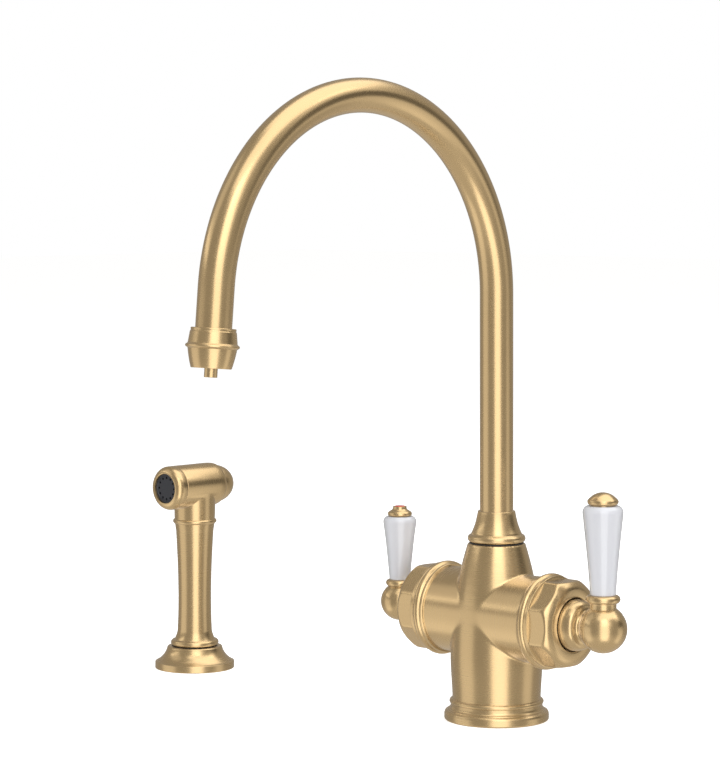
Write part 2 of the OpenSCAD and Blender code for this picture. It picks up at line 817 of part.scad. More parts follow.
module spout_bush() {
    color(black_plastic) {
        ring(spigot_r + run_fit, bush_r, body_top_z - bush_depth, bush_depth);
        ring(spigot_r + run_fit, groove_r, body_top_z, groove_h);
    }
}

module spout_stop_screw() {
    color(steel) at_stop() difference() {
        union() {
            bar(stop_tip_r, stop_groove_r + stop_gap, stop_len / 2);
            bar(stop_screw_r, spigot_r + 2 * stop_gap, stop_len);
        }
        bar(stop_screw_r / 2, spigot_r + stop_len - key_depth, stop_len, $fn = 6);
    }
}

module spout_spigot() {
    color(brass) difference() {
        bar(spigot_r, spigot_z, spigot_top_z - spigot_z);
        bar(tube_r - tube_wall, spigot_z - cut, spigot_top_z);
        bar(tube_r + fixed_fit, tube_z, spigot_top_z);
        for (z = [lower_seal_z, upper_seal_z])
            ring(seal_groove_r, spigot_r + cut, z - seal_wire_r - run_fit, seal_groove + 2 * run_fit);
        // The stop screw runs in this part-turn slot
        translate([0, 0, stop_z - stop_tip_r - stop_gap])
            rotate([0, 0, 90 - swivel_turn - stop_spare_angle])
            rotate_extrude(angle = 2 * (swivel_turn + stop_spare_angle))
            translate([stop_groove_r, 0]) square([spigot_r, 2 * (stop_tip_r + stop_gap)]);
    }
}

module spout_seal(z) {
    color(black_rubber) translate([0, 0, z]) rotate_extrude()
        translate([spigot_r - seal_wire_r, 0]) circle(r = seal_wire_r - fixed_fit);
}

module spout_collar() {
    bead = collar_bead_h / 2;
    z = collar_z + collar_bead_h;
    waist_r = collar_bead_r - 2.2;
    color(brass) difference() {
        turned(concat(
            [[0, collar_z], [collar_bead_r - bead, collar_z]],
            arc(collar_bead_r - bead, collar_z + bead, bead, -90, 80),
            [[waist_r, z + 0.2]],
            curve([waist_r - 0.1, z + 0.8], [waist_r - 1.9, z + 4.4],
                  [collar_top_r + 0.9, collar_top_z - 6], [collar_top_r, collar_top_z - edge]),
            [[collar_top_r - edge, collar_top_z], [0, collar_top_z]]
        ));
        bar(spigot_r + fixed_fit, collar_z - cut, spigot_top_z - collar_z + cut + fixed_fit);
        bar(tube_r + fixed_fit, collar_z, collar_h + cut);
    }
}

// Puts a piece at the end of the bend, with Z along the water's way
module at_bend_end() {
    translate([0, -bend_r, bend_z]) rotate([bend_angle, 0, 0]) translate([0, bend_r, 0]) children();
}

// A round bar of radius r along the spout, from height z to distance s past the bend
module along_spout(r, z, s) {
    translate([0, 0, z]) cylinder(r = r, h = bend_z - z);
    translate([0, -bend_r, bend_z]) rotate([90, 0, 90]) rotate_extrude(angle = bend_angle)
        translate([bend_r, 0]) circle(r = r);
    at_bend_end() bar(r + run_over, -bend_lap, s + bend_lap);
}

module spout_tube() {
    color(brass) difference() {
        along_spout(tube_r, tube_z + fixed_fit, tube_end_s);
        along_spout(tube_r - tube_wall, tube_z - cut, tube_end_s + cut);
    }
}

module boiling_tube() {
    color(steel) difference() {
        along_spout(inner_tube_r, inner_tube_z, outlet_head_s + outlet_head_len - 1);
        along_spout(inner_tube_r - inner_tube_wall, inner_tube_z - cut,
                    outlet_head_s + outlet_head_len + cut);
    }
}

module nozzle() {
    bead = 0.9;
    color(brass) at_bend_end() translate([0, 0, nozzle_s]) difference() {
        turned(concat(
            [[0, 0], [nozzle_top_r - 0.7, 0]],
            arc(nozzle_top_r - 0.6, 0.6, 0.6, -90, 20),
            [[nozzle_top_r - 0.1, 1.5], [nozzle_top_r + 0.25, 1.9],
             [nozzle_waist_r, nozzle_ring_s - 1.5]],
            arc(nozzle_ring_r - bead, nozzle_ring_s, bead, -70, 60),
            curve([nozzle_waist_r - 0.1, nozzle_ring_s + 1.4], [nozzle_waist_r - 0.5, nozzle_ring_s + 4.5],
                  [nozzle_mouth_r + 0.8, nozzle_len - 3], [nozzle_mouth_r, nozzle_len - 0.3]),
            [[nozzle_mouth_r - 0.3, nozzle_len], [0, nozzle_len]]
        ));
        bar(tube_r + run_over + fixed_fit, -cut, tube_end_s - nozzle_s + cut + fixed_fit);
        cylinder(r = flow_ring_r + fixed_fit, h = nozzle_len + cut);
    }
}

module nozzle_seal() {
    color(black_rubber) at_bend_end() ring(tube_r - tube_wall, flow_ring_r, tube_end_s + 2 * fixed_fit, 2);
}

module flow_ring() {
    color(white_plastic) at_bend_end() translate([0, 0, flow_ring_s]) difference() {
        cylinder(r = flow_ring_r, h = flow_ring_t);
        translate([0, 0, -cut]) cylinder(r = outlet_r + fixed_fit, h = flow_ring_t + 2 * cut);
        for (i = [0 : flow_holes - 1]) rotate([0, 0, i * 360 / flow_holes])
            translate([flow_hole_ring_r, 0, -cut]) cylinder(r = flow_hole_r, h = flow_ring_t + 2 * cut);
    }
}

module boiling_outlet() {
    color(brass) at_bend_end() difference() {
        union() {
            bar(outlet_head_r, outlet_head_s, outlet_head_len);
            bar(outlet_r, outlet_head_s, outlet_end_s - outlet_head_s);
        }
        bar(inner_tube_r + run_over + fixed_fit, outlet_head_s - cut, outlet_head_len + cut);
        bar(inner_tube_r - inner_tube_wall, outlet_head_s, outlet_end_s);
    }
}

// The spray's holder

module at_spray() {
    translate([-spray_x, 0, 0]) children();
}

module spray_holder() {
    color(brass) at_spray() difference() {
        turned(concat(
            [[0, 0], [holder_r - 0.6, 0], [holder_r, 0.6], [holder_r, holder_rim_h - 0.5],
             [holder_r - 0.4, holder_rim_h]],
            curve([holder_r - 1.4, holder_rim_h + 0.5], [holder_r - 4.6, holder_rim_h + 2.4],
                  [holder_top_r + 1.2, holder_h - 4.4], [holder_top_r + 0.2, holder_h - 1]),
            arc(holder_top_r - 0.8, holder_h - 1, 1, 0, 90),
            [[0, holder_h]]
        ));
        translate([0, 0, -cut]) cylinder(r = holder_thread_r, h = holder_thread_depth + cut);
        cylinder(r = handset_spigot_r + run_fit + liner_wall + fixed_fit, h = holder_h + cut);
        ring(spray_gasket_in_r, spray_gasket_out_r, -cut, cut + spray_gasket_t);
    }
}

module spray_gasket() {
    color(black_rubber) at_spray()
        ring(spray_gasket_in_r + fixed_fit, spray_gasket_out_r - fixed_fit, 0, spray_gasket_t);
}

module spray_liner() {
    inner = handset_spigot_r + run_fit;
    color(black_rubber) at_spray() {
        ring(inner, inner + liner_wall, holder_thread_depth, holder_h - holder_thread_depth);
        ring(inner, handset_foot_r - 0.8, holder_h, liner_flange_t);
    }
}

// The spray's handset

module spray_handle() {
    bead = 2.1;
    color(brass) at_spray() difference() {
        turned(concat(
            [[0, handset_spigot_z], [handset_spigot_r, handset_spigot_z], [handset_spigot_r, foot_z],
             [handset_foot_r - 1.2, foot_z]],
            arc(handset_foot_r - bead, foot_z + bead, bead, -60, 85),
            curve([handset_foot_r - 2.5, foot_z + 2 * bead], [handle_waist_r + 2.2, foot_z + 5],
                  [handle_waist_r + 1.2, foot_z + 7.2], [handle_waist_r + 0.75, foot_z + 9.6]),
            curve([handle_waist_r + 0.7, foot_z + 10.2],
                  [handle_waist_r - 0.35, foot_z + handle_len * handle_low_share],
                  [handle_waist_r + 0.2, foot_z + handle_len * handle_high_share],
                  [handle_top_r - 0.5, handle_top_z - 4.4]),
            [[handle_top_r, handle_top_z - 1], [handle_top_r, handle_top_z], [0, handle_top_z]]
        ));
        bar(hose_thread_r, handset_spigot_z - cut, hose_thread_depth + cut);
        bar(hose_washer_r + fixed_fit, handset_spigot_z, hose_thread_depth + hose_washer_t);
        bar(handle_bore_r, 0, handle_top_z + cut);
    }
}

module spray_hose_washer() {
    color(black_rubber) at_spray()
        ring(hose_washer_bore_r, hose_washer_r, handset_spigot_z + hose_thread_depth, hose_washer_t);
}

// Puts a piece on the head's axis, with Z towards the front
module on_head() {
    at_spray() translate([0, 0, head_z]) along_front() children();
}

module spray_head() {
    bead = neck_bead;
    neck_r = handle_top_r + 0.9;
    color(brass) difference() {
        union() {
            at_spray() turned(concat(
                [[0, handle_top_z], [neck_r - 0.4, handle_top_z]],
                arc(neck_r - 0.9, neck_bead_z, bead, -70, 70),
                [[neck_r - 0.4, neck_bead_z + bead + 0.3], [neck_r + 0.2, head_z], [0, head_z]]
            ));
            on_head() turned(concat(
                [[0, bezel_y], [head_r - 0.3, bezel_y], [head_r, bezel_y - 0.4]],
                curve([head_r, 7 - head_back_y], [head_r, 2.4 - head_back_y],
                      [thumb_r + 1.4, 0.3 - head_back_y], [thumb_r + 0.7, -head_back_y]),
                [[0, -head_back_y]]
            ));
        }
        at_spray() bar(handle_bore_r, handle_top_z - cut, head_rise - seat_hole_r / 2 + cut);
        on_head() {
            bar(valve_bore_r, -seat_front_y, bezel_y);
            bar(seat_hole_r, -gland_front_y, bezel_y);
            bar(valve_bore_r, -gland_front_y, gland_front_y - seat_back_y);
            bar(plunger_r + run_fit, -head_back_y - cut, head_back_y);
            mirror([0, 0, 1]) bar(thumb_r + 2 * run_fit, gland_back_y, head_back_y);
        }
    }
}

module spray_bezel() {
    nose = 5;
    color(brass) on_head() translate([0, 0, bezel_y]) difference() {
        turned(concat(
            [[0, 0], [head_r - 0.3, 0], [head_r, 0.4]],
            arc(head_r - nose, bezel_len - nose, nose, 0, 80),
            [[face_r + 0.4, bezel_len], [face_r, bezel_len - 0.5], [0, bezel_len - 0.5]]
        ));
        translate([0, 0, -cut]) cylinder(r = face_r + fixed_fit, h = bezel_len + 2 * cut);
    }
}

module spray_face() {
    rim = 1;
    t = bezel_len - 1.6;
    color("#34353c") on_head() translate([0, 0, bezel_y + fixed_fit]) difference() {
        turned([[0, 0], [face_r, 0], [face_r, t], [face_r - rim, t],
                [face_r - rim - 0.4, t - 0.5], [0, t - 0.5]]);
        for (i = [0 : face_holes - 1]) rotate([0, 0, i * 360 / face_holes])
            translate([face_ring_r, 0, -cut]) cylinder(r = face_hole_r, h = bezel_len + cut);
    }
}

module spray_button() {
    color(brass) on_head() mirror([0, 0, 1]) difference() {
        turned(concat(
            [[0, thumb_front_y], [thumb_r, thumb_front_y], [thumb_r, head_back_y - 0.3]],
            curve([thumb_r, head_back_y + 0.3], [thumb_r, head_back_y + thumb_len * 0.55],
                  [thumb_r * 0.58, head_back_y + thumb_len], [0, head_back_y + thumb_len])
        ));
        bar(spray_spring_r + 0.4, gland_back_y, thumb_travel + spray_spring_room);
        bar(plunger_r + fixed_fit, gland_back_y, head_back_y + plunger_grip - gland_back_y);
    }
}

module spray_plunger() {
    color(steel) on_head() mirror([0, 0, 1])
        bar(plunger_r, plunger_front_y, head_back_y + plunger_grip - fixed_fit - plunger_front_y);
}

module spray_valve_washer() {
    color(black_rubber) on_head()
        ring(plunger_r + fixed_fit, washer_r, fixed_fit - seat_front_y, washer_t);
}

module spray_spring() {
    color(steel) on_head() mirror([0, 0, 1])
        ring(plunger_r + 0.4, spray_spring_r, gland_back_y + fixed_fit,
             thumb_travel + spray_spring_room - 2 * fixed_fit);
}

body();
base_ring();
base_gasket();
inlet_manifold();
flange_ring(true);  // right_flange_ring
bonnet_nut(true);  // right_bonnet_nut
cartridge(true);  // right_cartridge
seal(true);  // right_seal
fixed_disc(true);  // right_fixed_disc
moving_disc(true);  // right_moving_disc
spindle(true);  // right_spindle
spindle_seal(true);  // right_spindle_seal
lever_hub(true, right_ball_x, right_ball_r, right_bell_r, right_collar_r, right_collar_z);  // right_lever_hub
lever_screw(true);  // right_lever_screw
grip_stud(true, right_ball_x, right_ball_r * stud_start, right_grip_z);  // right_grip_stud
grip(true, right_ball_x, right_grip_foot_r, right_grip_top_r, right_collar_z, right_grip_z);  // right_grip
right_cap();
flange_ring(false);  // left_flange_ring
bonnet_nut(false);  // left_bonnet_nut
cartridge(false);  // left_cartridge
seal(false);  // left_seal
fixed_disc(false);  // left_fixed_disc
moving_disc(false);  // left_moving_disc
spindle(false);  // left_spindle
spindle_seal(false);  // left_spindle_seal
lever_hub(false, left_ball_x, left_ball_r, left_bell_r, left_collar_r, left_collar_z);  // left_lever_hub
lever_screw(false);  // left_lever_screw
grip_stud(false, left_ball_x, left_ball_r * stud_start, stud_top_z);  // left_grip_stud
grip(false, left_ball_x, left_grip_foot_r, left_grip_top_r, left_collar_z, left_grip_z);  // left_grip
left_cap();
safety_button();
safety_push_rod();
safety_spring();
spout_bush();
spout_stop_screw();
spout_spigot();
spout_seal(lower_seal_z);  // lower_spout_seal
spout_seal(upper_seal_z);  // upper_spout_seal
spout_collar();
spout_tube();
boiling_tube();
nozzle();
nozzle_seal();
flow_ring();
boiling_outlet();
spray_holder();
spray_gasket();
spray_liner();
spray_handle();
spray_head();
spray_bezel();
spray_face();
spray_hose_washer();
spray_button();
spray_plunger();
spray_valve_washer();
spray_spring();
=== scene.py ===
import json
import math

import bmesh
import bpy
import numpy as np
from bpy.props import FloatProperty, FloatVectorProperty, PointerProperty
from mathutils import Matrix, Vector


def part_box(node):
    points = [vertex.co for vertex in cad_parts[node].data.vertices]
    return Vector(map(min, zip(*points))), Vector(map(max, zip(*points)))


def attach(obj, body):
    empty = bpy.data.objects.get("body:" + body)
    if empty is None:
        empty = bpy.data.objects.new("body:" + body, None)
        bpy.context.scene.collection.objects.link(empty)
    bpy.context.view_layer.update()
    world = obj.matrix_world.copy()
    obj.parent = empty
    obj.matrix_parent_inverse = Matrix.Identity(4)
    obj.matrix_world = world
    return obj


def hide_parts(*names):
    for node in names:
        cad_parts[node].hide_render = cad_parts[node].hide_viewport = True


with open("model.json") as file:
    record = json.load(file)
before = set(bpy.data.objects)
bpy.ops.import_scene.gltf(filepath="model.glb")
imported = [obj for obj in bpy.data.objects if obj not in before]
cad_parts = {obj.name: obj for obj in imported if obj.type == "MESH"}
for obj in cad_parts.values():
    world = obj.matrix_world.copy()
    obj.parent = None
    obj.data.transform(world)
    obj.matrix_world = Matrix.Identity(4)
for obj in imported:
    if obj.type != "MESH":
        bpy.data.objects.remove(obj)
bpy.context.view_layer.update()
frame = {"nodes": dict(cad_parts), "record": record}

bl_info = {
    "name": "Boiling Water Tap",
    "version": (1, 0, 0),
    "blender": (4, 5, 0),
    "location": "View3D > Sidebar > Tap",
    "description": "Dresses a boiling water tap with two levers and a side spray",
    "category": "Add Mesh",
}

# Outlines are in millimetres, and Blender's unit is the metre
MM = 0.001
# Sides of a turned piece, a multiple of the nut's eight flats
TURN_STEPS = 144
# Points in each curved stretch of an outline
CURVE_POINTS = 14
# An edge sharper than this stays crisp, in degrees
CRISP_ANGLE = 32
# Points closer than this become one
WELD = 0.001
# Hole of the rings and nuts that sit on an arm's neck
NECK_HOLE = 22.05
# Radius of the caps' plugs, which go into the grips, and the play round a plug or a button
PLUG_RADIUS = 4
PLAY = 0.05
# How far the thumb button goes in
THUMB_TRAVEL = 4
# The arms' sides, each with its way along X
SIDES = {"right": 1, "left": -1}
X, Y, Z = range(3)


def size_of(node):
    """Lowest and highest corner of a CAD node, in millimetres."""
    low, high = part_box(node)
    return Vector(low) / MM, Vector(high) / MM


def span(node, axis):
    """How far a CAD node reaches along an axis, in millimetres."""
    low, high = size_of(node)
    return high[axis] - low[axis]


def middle_of(node, axis):
    """Where a CAD node's middle lies on an axis, in millimetres."""
    low, high = size_of(node)
    return (low[axis] + high[axis]) / 2


# Sizes and finishes


class TapSizes(bpy.types.PropertyGroup):
    """Sizes that a user may change, in the frame's own place."""

    bend_radius: FloatProperty(
        name="Bend radius", description="Radius of the spout's bend at the tube's middle",
        default=0.1164, unit="LENGTH")
    bend_height: FloatProperty(
        name="Bend height", description="Height of the middle of the bend above the deck",
        default=0.2545, unit="LENGTH")
    bend_angle: FloatProperty(
        name="Bend angle", description="Angle that the spout's bend turns through",
        default=math.radians(175), subtype="ANGLE")
    end_run: FloatProperty(
        name="End run", description="Straight tube between the bend and the nozzle",
        default=0.0218, unit="LENGTH")
    tube_radius: FloatProperty(
        name="Tube radius", description="Outer radius of the spout tube",
        default=0.01, unit="LENGTH")
    tube_wall: FloatProperty(
        name="Tube wall", description="Thickness of the spout tube's wall",
        default=0.0015, unit="LENGTH")
    body_fillet: FloatProperty(
        name="Body fillet", description="Softness of the joint between column and arms",
        default=0.0009, unit="LENGTH")
    nut_flats: FloatProperty(
        name="Nut flats", description="Distance across two opposite flats of a nut",
        default=0.0496, unit="LENGTH")


class TapFinishes(bpy.types.PropertyGroup):
    """Colours and roughness of the finishes."""

    brass: FloatVectorProperty(
        name="Brass", description="Colour of the satin brass",
        default=(0.70, 0.50, 0.26), size=3, subtype="COLOR", min=0, max=1)
    brass_roughness: FloatProperty(
        name="Brass roughness", description="Roughness of the satin brass",
        default=0.27, min=0, max=1, subtype="FACTOR")
    porcelain: FloatVectorProperty(
        name="Porcelain", description="Colour of the porcelain grips",
        default=(0.74, 0.75, 0.80), size=3, subtype="COLOR", min=0, max=1)
    button: FloatVectorProperty(
        name="Safety button", description="Colour of the safety button",
        default=(0.72, 0.045, 0.035), size=3, subtype="COLOR", min=0, max=1)
    spray_face: FloatVectorProperty(
        name="Spray face", description="Colour of the spray face",
        default=(0.015, 0.016, 0.022), size=3, subtype="COLOR", min=0, max=1)
    floor: FloatVectorProperty(
        name="Floor", description="Colour of the plain floor",
        default=(0.9, 0.9, 0.9), size=3, subtype="COLOR", min=0, max=1)


def sizes():
    return bpy.context.scene.tap_sizes


def finishes():
    return bpy.context.scene.tap_finishes


# Outlines


def arc(x, y, r, start, end, points=CURVE_POINTS):
    """Points on a circle's arc about (x, y), between two angles in degrees."""
    angles = [math.radians(start + (end - start) * i / points) for i in range(points + 1)]
    return [(x + r * math.cos(a), y + r * math.sin(a)) for a in angles]


def curve(p, q, r, s, points=CURVE_POINTS):
    """Points on a smooth curve from p to s, that q and r draw towards them."""
    line = []
    for i in range(points + 1):
        t = i / points
        u = 1 - t
        weights = (u ** 3, 3 * u * u * t, 3 * u * t * t, t ** 3)
        line.append(tuple(sum(w * c[k] for w, c in zip(weights, (p, q, r, s))) for k in (0, 1)))
    return line


# Places


def upright(x=0, y=0, z=0):
    """Puts a turned piece upright at a point."""
    return Matrix.Translation((x, y, z))


def along_arm(side):
    """Turns a piece so that its axis lies along an arm, outwards."""
    turn = Matrix.Rotation(SIDES[side] * math.pi / 2, 4, "Y")
    return Matrix.Translation((0, 0, arm_height())) @ turn


def to_front(x, height):
    """Turns a piece so that its axis points to the front."""
    return Matrix.Translation((x, 0, height)) @ Matrix.Rotation(math.pi / 2, 4, "X")


def to_back(x, height):
    """Turns a piece so that its axis points to the back."""
    return Matrix.Translation((x, 0, height)) @ Matrix.Rotation(-math.pi / 2, 4, "X")


def bend_end():
    """Puts a piece at the end of the spout's bend, with its axis along the water's way."""
    s = sizes()
    radius = s.bend_radius / MM
    middle = Matrix.Translation((0, -radius, s.bend_height / MM))
    return middle @ Matrix.Rotation(s.bend_angle, 4, "X") @ Matrix.Translation((0, radius, 0))


def arm_height():
    """Height of the arms' axis above the deck."""
    return middle_of("right_flange_ring", Z)


def arm_reach(node):
    """Where a node on an arm starts and ends, measured outwards from the column's axis."""
    return sorted(abs(corner.x) for corner in size_of(node))


def spray_x():
    return middle_of("spray_holder", X)


# Meshes


def spun(outline, closed=False, steps=TURN_STEPS):
    """A turned shape about Z, from points (radius, height)."""
    bm = bmesh.new()
    points = [bm.verts.new((r, 0, z)) for r, z in outline]
    edges = [bm.edges.new(pair) for pair in zip(points, points[1:])]
    if closed:
        edges.append(bm.edges.new((points[-1], points[0])))
    bmesh.ops.spin(bm, geom=points + edges, cent=(0, 0, 0), axis=(0, 0, 1),
                   angle=2 * math.pi, steps=steps, use_merge=True)
    bmesh.ops.remove_doubles(bm, verts=bm.verts, dist=WELD)
    bmesh.ops.recalc_face_normals(bm, faces=bm.faces)
    return bm


def smoothed(mesh):
    """Smooth shading, with crisp edges where faces meet at a sharp angle."""
    mesh.shade_smooth()
    mesh.set_sharp_from_angle(angle=math.radians(CRISP_ANGLE))
    return mesh


def corners_of(mesh):
    """The mesh's vertices as rows of three."""
    points = np.empty(len(mesh.vertices) * 3)
    mesh.vertices.foreach_get("co", points)
    return points.reshape(-1, 3)


def plain_mesh(name, bm):
    """Turns a finished bmesh into a mesh."""
    mesh = bpy.data.meshes.new(name)
    bm.to_mesh(mesh)
    bm.free()
    return mesh


def mesh_of(name, bm, place):
    """Moves a shape to its place in metres and makes it a smooth mesh."""
    bmesh.ops.transform(bm, matrix=Matrix.Scale(MM, 4) @ place, verts=bm.verts)
    return smoothed(plain_mesh(name, bm))


def linked(name, data):
    """A new object in the scene for a mesh, a lamp or a camera."""
    obj = bpy.data.objects.new(name, data)
    bpy.context.scene.collection.objects.link(obj)
    return obj


def piece(name, mesh, body, slot, material, *nodes):
    """Links a finished mesh as a piece that rides on a body in place of CAD nodes."""
    obj = linked(name, mesh)
    obj.data.materials.clear()
    obj.data.materials.append(material)
    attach(obj, body)
    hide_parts(*nodes)


def turned_brass(name, outline, place, body, node, closed=True, steps=TURN_STEPS):
    """A turned piece of satin brass, brushed round its own axis."""
    mesh = mesh_of(name, spun(outline, closed, steps), place)
    piece(name, mesh, body, "satin_brass", satin_brass(node, place), node)


def evaluated(obj, name):
    """The mesh that an object's modifiers make. The object itself is removed."""
    graph = bpy.context.evaluated_depsgraph_get()
    mesh = bpy.data.meshes.new_from_object(obj.evaluated_get(graph))
    mesh.name = name
    bpy.data.objects.remove(obj)
    return mesh


def combined(name, first, second, operation):
    """One mesh from two by a Boolean, smooth with crisp edges."""
    base = linked(name + "_base", first)
    tool = linked(name + "_tool", second)
    boolean = base.modifiers.new("join", "BOOLEAN")
    boolean.operation = operation
    boolean.solver = "EXACT"
    boolean.object = tool
    mesh = evaluated(base, name)
    bpy.data.objects.remove(tool)
    if not mesh.polygons:
        raise RuntimeError(name + " came out empty")
    return smoothed(mesh)


def smooth_least(a, b, soft):
    """The lesser of two, rounded over where they are about equal."""
    near = np.maximum(soft - np.abs(a - b), 0) / soft
    return np.minimum(a, b) - near * near * soft / 4


# Materials

# Painted reflection: colour of the brass where brass reflects it, paler so that hollows don't turn
# orange
PAINTED_BRASS_REFLECTION = (0.80, 0.73, 0.63)


def node_group(name, inputs, outputs):
    """A shader node group with named sockets, and its two end nodes."""
    group = bpy.data.node_groups.new(name, "ShaderNodeTree")
    for label, kind, default in inputs:
        socket = group.interface.new_socket(label, in_out="INPUT", socket_type=kind)
        if default is not None:
            socket.default_value = default
    for label, kind in outputs:
        group.interface.new_socket(label, in_out="OUTPUT", socket_type=kind)
    return group, group.nodes.new("NodeGroupInput"), group.nodes.new("NodeGroupOutput")


def math_node(tree, operation, first, second=None):
    """A Math node on sockets or plain numbers."""
    made = tree.nodes.new("ShaderNodeMath")
    made.operation = operation
    for slot_number, value in enumerate((first, second)):
        if value is None:
            continue
        if isinstance(value, (int, float)):
            made.inputs[slot_number].default_value = value
        else:
            tree.links.new(value, made.inputs[slot_number])
    return made.outputs[0]


def turned_grain_group():
    """Fine lines round the Z axis of the incoming coordinates, as a lathe and a pad leave them."""
    name = "Turned grain"
    if name in bpy.data.node_groups:
        return bpy.data.node_groups[name]
    group, start, end = node_group(
        name,
        [("Vector", "NodeSocketVector", None), ("Lines", "NodeSocketFloat", 2200.0),
         ("Breaks", "NodeSocketFloat", 1.6)],
        [("Height", "NodeSocketFloat"), ("Cloud", "NodeSocketFloat")])
    split = group.nodes.new("ShaderNodeSeparateXYZ")
    group.links.new(start.outputs["Vector"], split.inputs[0])
    x, y, z = split.outputs
    radius = math_node(group, "SQRT", math_node(
        group, "ADD", math_node(group, "MULTIPLY", x, x), math_node(group, "MULTIPLY", y, y)))
    safe = math_node(group, "MAXIMUM", radius, 0.0001)
    line_space = group.nodes.new("ShaderNodeCombineXYZ")
    across, breaks = start.outputs["Lines"], start.outputs["Breaks"]
    for axis, value in enumerate((x, y)):
        turn = math_node(group, "MULTIPLY", math_node(group, "DIVIDE", value, safe), breaks)
        group.links.new(turn, line_space.inputs[axis])
    group.links.new(math_node(group, "MULTIPLY", z, across), line_space.inputs[2])
    lines = group.nodes.new("ShaderNodeTexNoise")
    lines.noise_dimensions = "4D"
    lines.inputs["Scale"].default_value = 1
    lines.inputs["Detail"].default_value = 2
    lines.inputs["Roughness"].default_value = 0.55
    group.links.new(math_node(group, "MULTIPLY", radius, across), lines.inputs["W"])
    group.links.new(line_space.outputs[0], lines.inputs["Vector"])
    cloud = group.nodes.new("ShaderNodeTexNoise")
    cloud.inputs["Scale"].default_value = 60
    cloud.inputs["Detail"].default_value = 3
    group.links.new(start.outputs["Vector"], cloud.inputs["Vector"])
    group.links.new(lines.outputs["Fac"], end.inputs["Height"])
    group.links.new(cloud.outputs["Fac"], end.inputs["Cloud"])
    return group


def new_material(name):
    """A new material, its node tree and its shader."""
    material = bpy.data.materials.new(name)
    material.use_nodes = True
    shader = material.node_tree.nodes["Principled BSDF"]
    return material, material.node_tree, shader


def ranged(tree, value, low, high, start=0, end=1):
    """Spreads a value between a start and an end over a range, and holds it beyond them."""
    node = tree.nodes.new("ShaderNodeMapRange")
    node.inputs["From Min"].default_value = start
    node.inputs["From Max"].default_value = end
    node.inputs["To Min"].default_value = low
    node.inputs["To Max"].default_value = high
    tree.links.new(value, node.inputs["Value"])
    return node.outputs["Result"]


def tinted(tree, factor, first, second):
    """A colour between two, by a factor."""
    mix = tree.nodes.new("ShaderNodeMix")
    mix.data_type = "RGBA"
    mix.inputs["A"].default_value = (*first, 1)
    mix.inputs["B"].default_value = (*second, 1)
    tree.links.new(factor, mix.inputs["Factor"])
    return mix.outputs["Result"]


def placed_coordinates(tree, place):
    """Object coordinates, moved so that a turned piece's own axis is Z."""
    coordinates = tree.nodes.new("ShaderNodeTexCoord")
    mapping = tree.nodes.new("ShaderNodeMapping")
    inverse = place.inverted()
    mapping.inputs["Rotation"].default_value = inverse.to_euler()
    mapping.inputs["Location"].default_value = inverse.to_translation() * MM
    tree.links.new(coordinates.outputs["Object"], mapping.inputs["Vector"])
    return mapping.outputs["Vector"]


def bumped(tree, shader, height, strength, distance):
    """Tilts a shader's normals as a height does."""
    bump = tree.nodes.new("ShaderNodeBump")
    bump.inputs["Strength"].default_value = strength
    bump.inputs["Distance"].default_value = distance
    tree.links.new(height, bump.inputs["Height"])
    tree.links.new(bump.outputs["Normal"], shader.inputs["Normal"])


def grain_of(tree, vector):
    """The turned grain's height and cloud at a vector."""
    grain = tree.nodes.new("ShaderNodeGroup")
    grain.node_tree = turned_grain_group()
    tree.links.new(vector, grain.inputs["Vector"])
    return grain.outputs["Height"], grain.outputs["Cloud"]


def brass_shader(tree, shader, height, cloud):
    """Satin brass from a grain's height and a soft cloud."""
    f = finishes()
    shade = tuple(c * 0.96 for c in f.brass)
    light = tuple(min(1, c * 1.03) for c in f.brass)
    spread = 0.02
    # Painted reflection: brass seen in a reflection takes a paler colour than its own
    painted_reflection = tree.nodes.new("ShaderNodeMix")
    painted_reflection.data_type = "RGBA"
    painted_reflection.inputs["B"].default_value = (*PAINTED_BRASS_REFLECTION, 1)
    path = tree.nodes.new("ShaderNodeLightPath")
    tree.links.new(path.outputs["Is Glossy Ray"], painted_reflection.inputs["Factor"])
    tree.links.new(tinted(tree, cloud, shade, light), painted_reflection.inputs["A"])
    tree.links.new(painted_reflection.outputs["Result"], shader.inputs["Base Color"])
    rough = math_node(
        tree, "ADD", ranged(tree, height, -spread, spread),
        ranged(tree, cloud, f.brass_roughness - spread, f.brass_roughness + spread))
    tree.links.new(rough, shader.inputs["Roughness"])
    shader.inputs["Metallic"].default_value = 1
    bumped(tree, shader, height, strength=0.28, distance=0.000012)


def satin_brass(name, place):
    """Brass brushed round the axis of one turned piece."""
    material, tree, shader = new_material("satin_brass_" + name)
    brass_shader(tree, shader, *grain_of(tree, placed_coordinates(tree, place)))
    return material


def body_brass(place):
    """Brass brushed round the column, and round the arms where an attribute says so."""
    material, tree, shader = new_material("satin_brass_body")
    column_height, column_cloud = grain_of(tree, placed_coordinates(tree, upright()))
    arm_grain, _ = grain_of(tree, placed_coordinates(tree, place))
    share = tree.nodes.new("ShaderNodeAttribute")
    share.attribute_name = "arm_share"
    mix = tree.nodes.new("ShaderNodeMix")
    tree.links.new(share.outputs["Fac"], mix.inputs["Factor"])
    tree.links.new(column_height, mix.inputs["A"])
    tree.links.new(arm_grain, mix.inputs["B"])
    brass_shader(tree, shader, mix.outputs["Result"], column_cloud)
    return material


def object_noise(tree, scale):
    """Soft noise in the object's own coordinates."""
    coordinates = tree.nodes.new("ShaderNodeTexCoord")
    noise = tree.nodes.new("ShaderNodeTexNoise")
    noise.inputs["Scale"].default_value = scale
    noise.inputs["Detail"].default_value = 2
    tree.links.new(coordinates.outputs["Object"], noise.inputs["Vector"])
    return noise.outputs["Fac"]


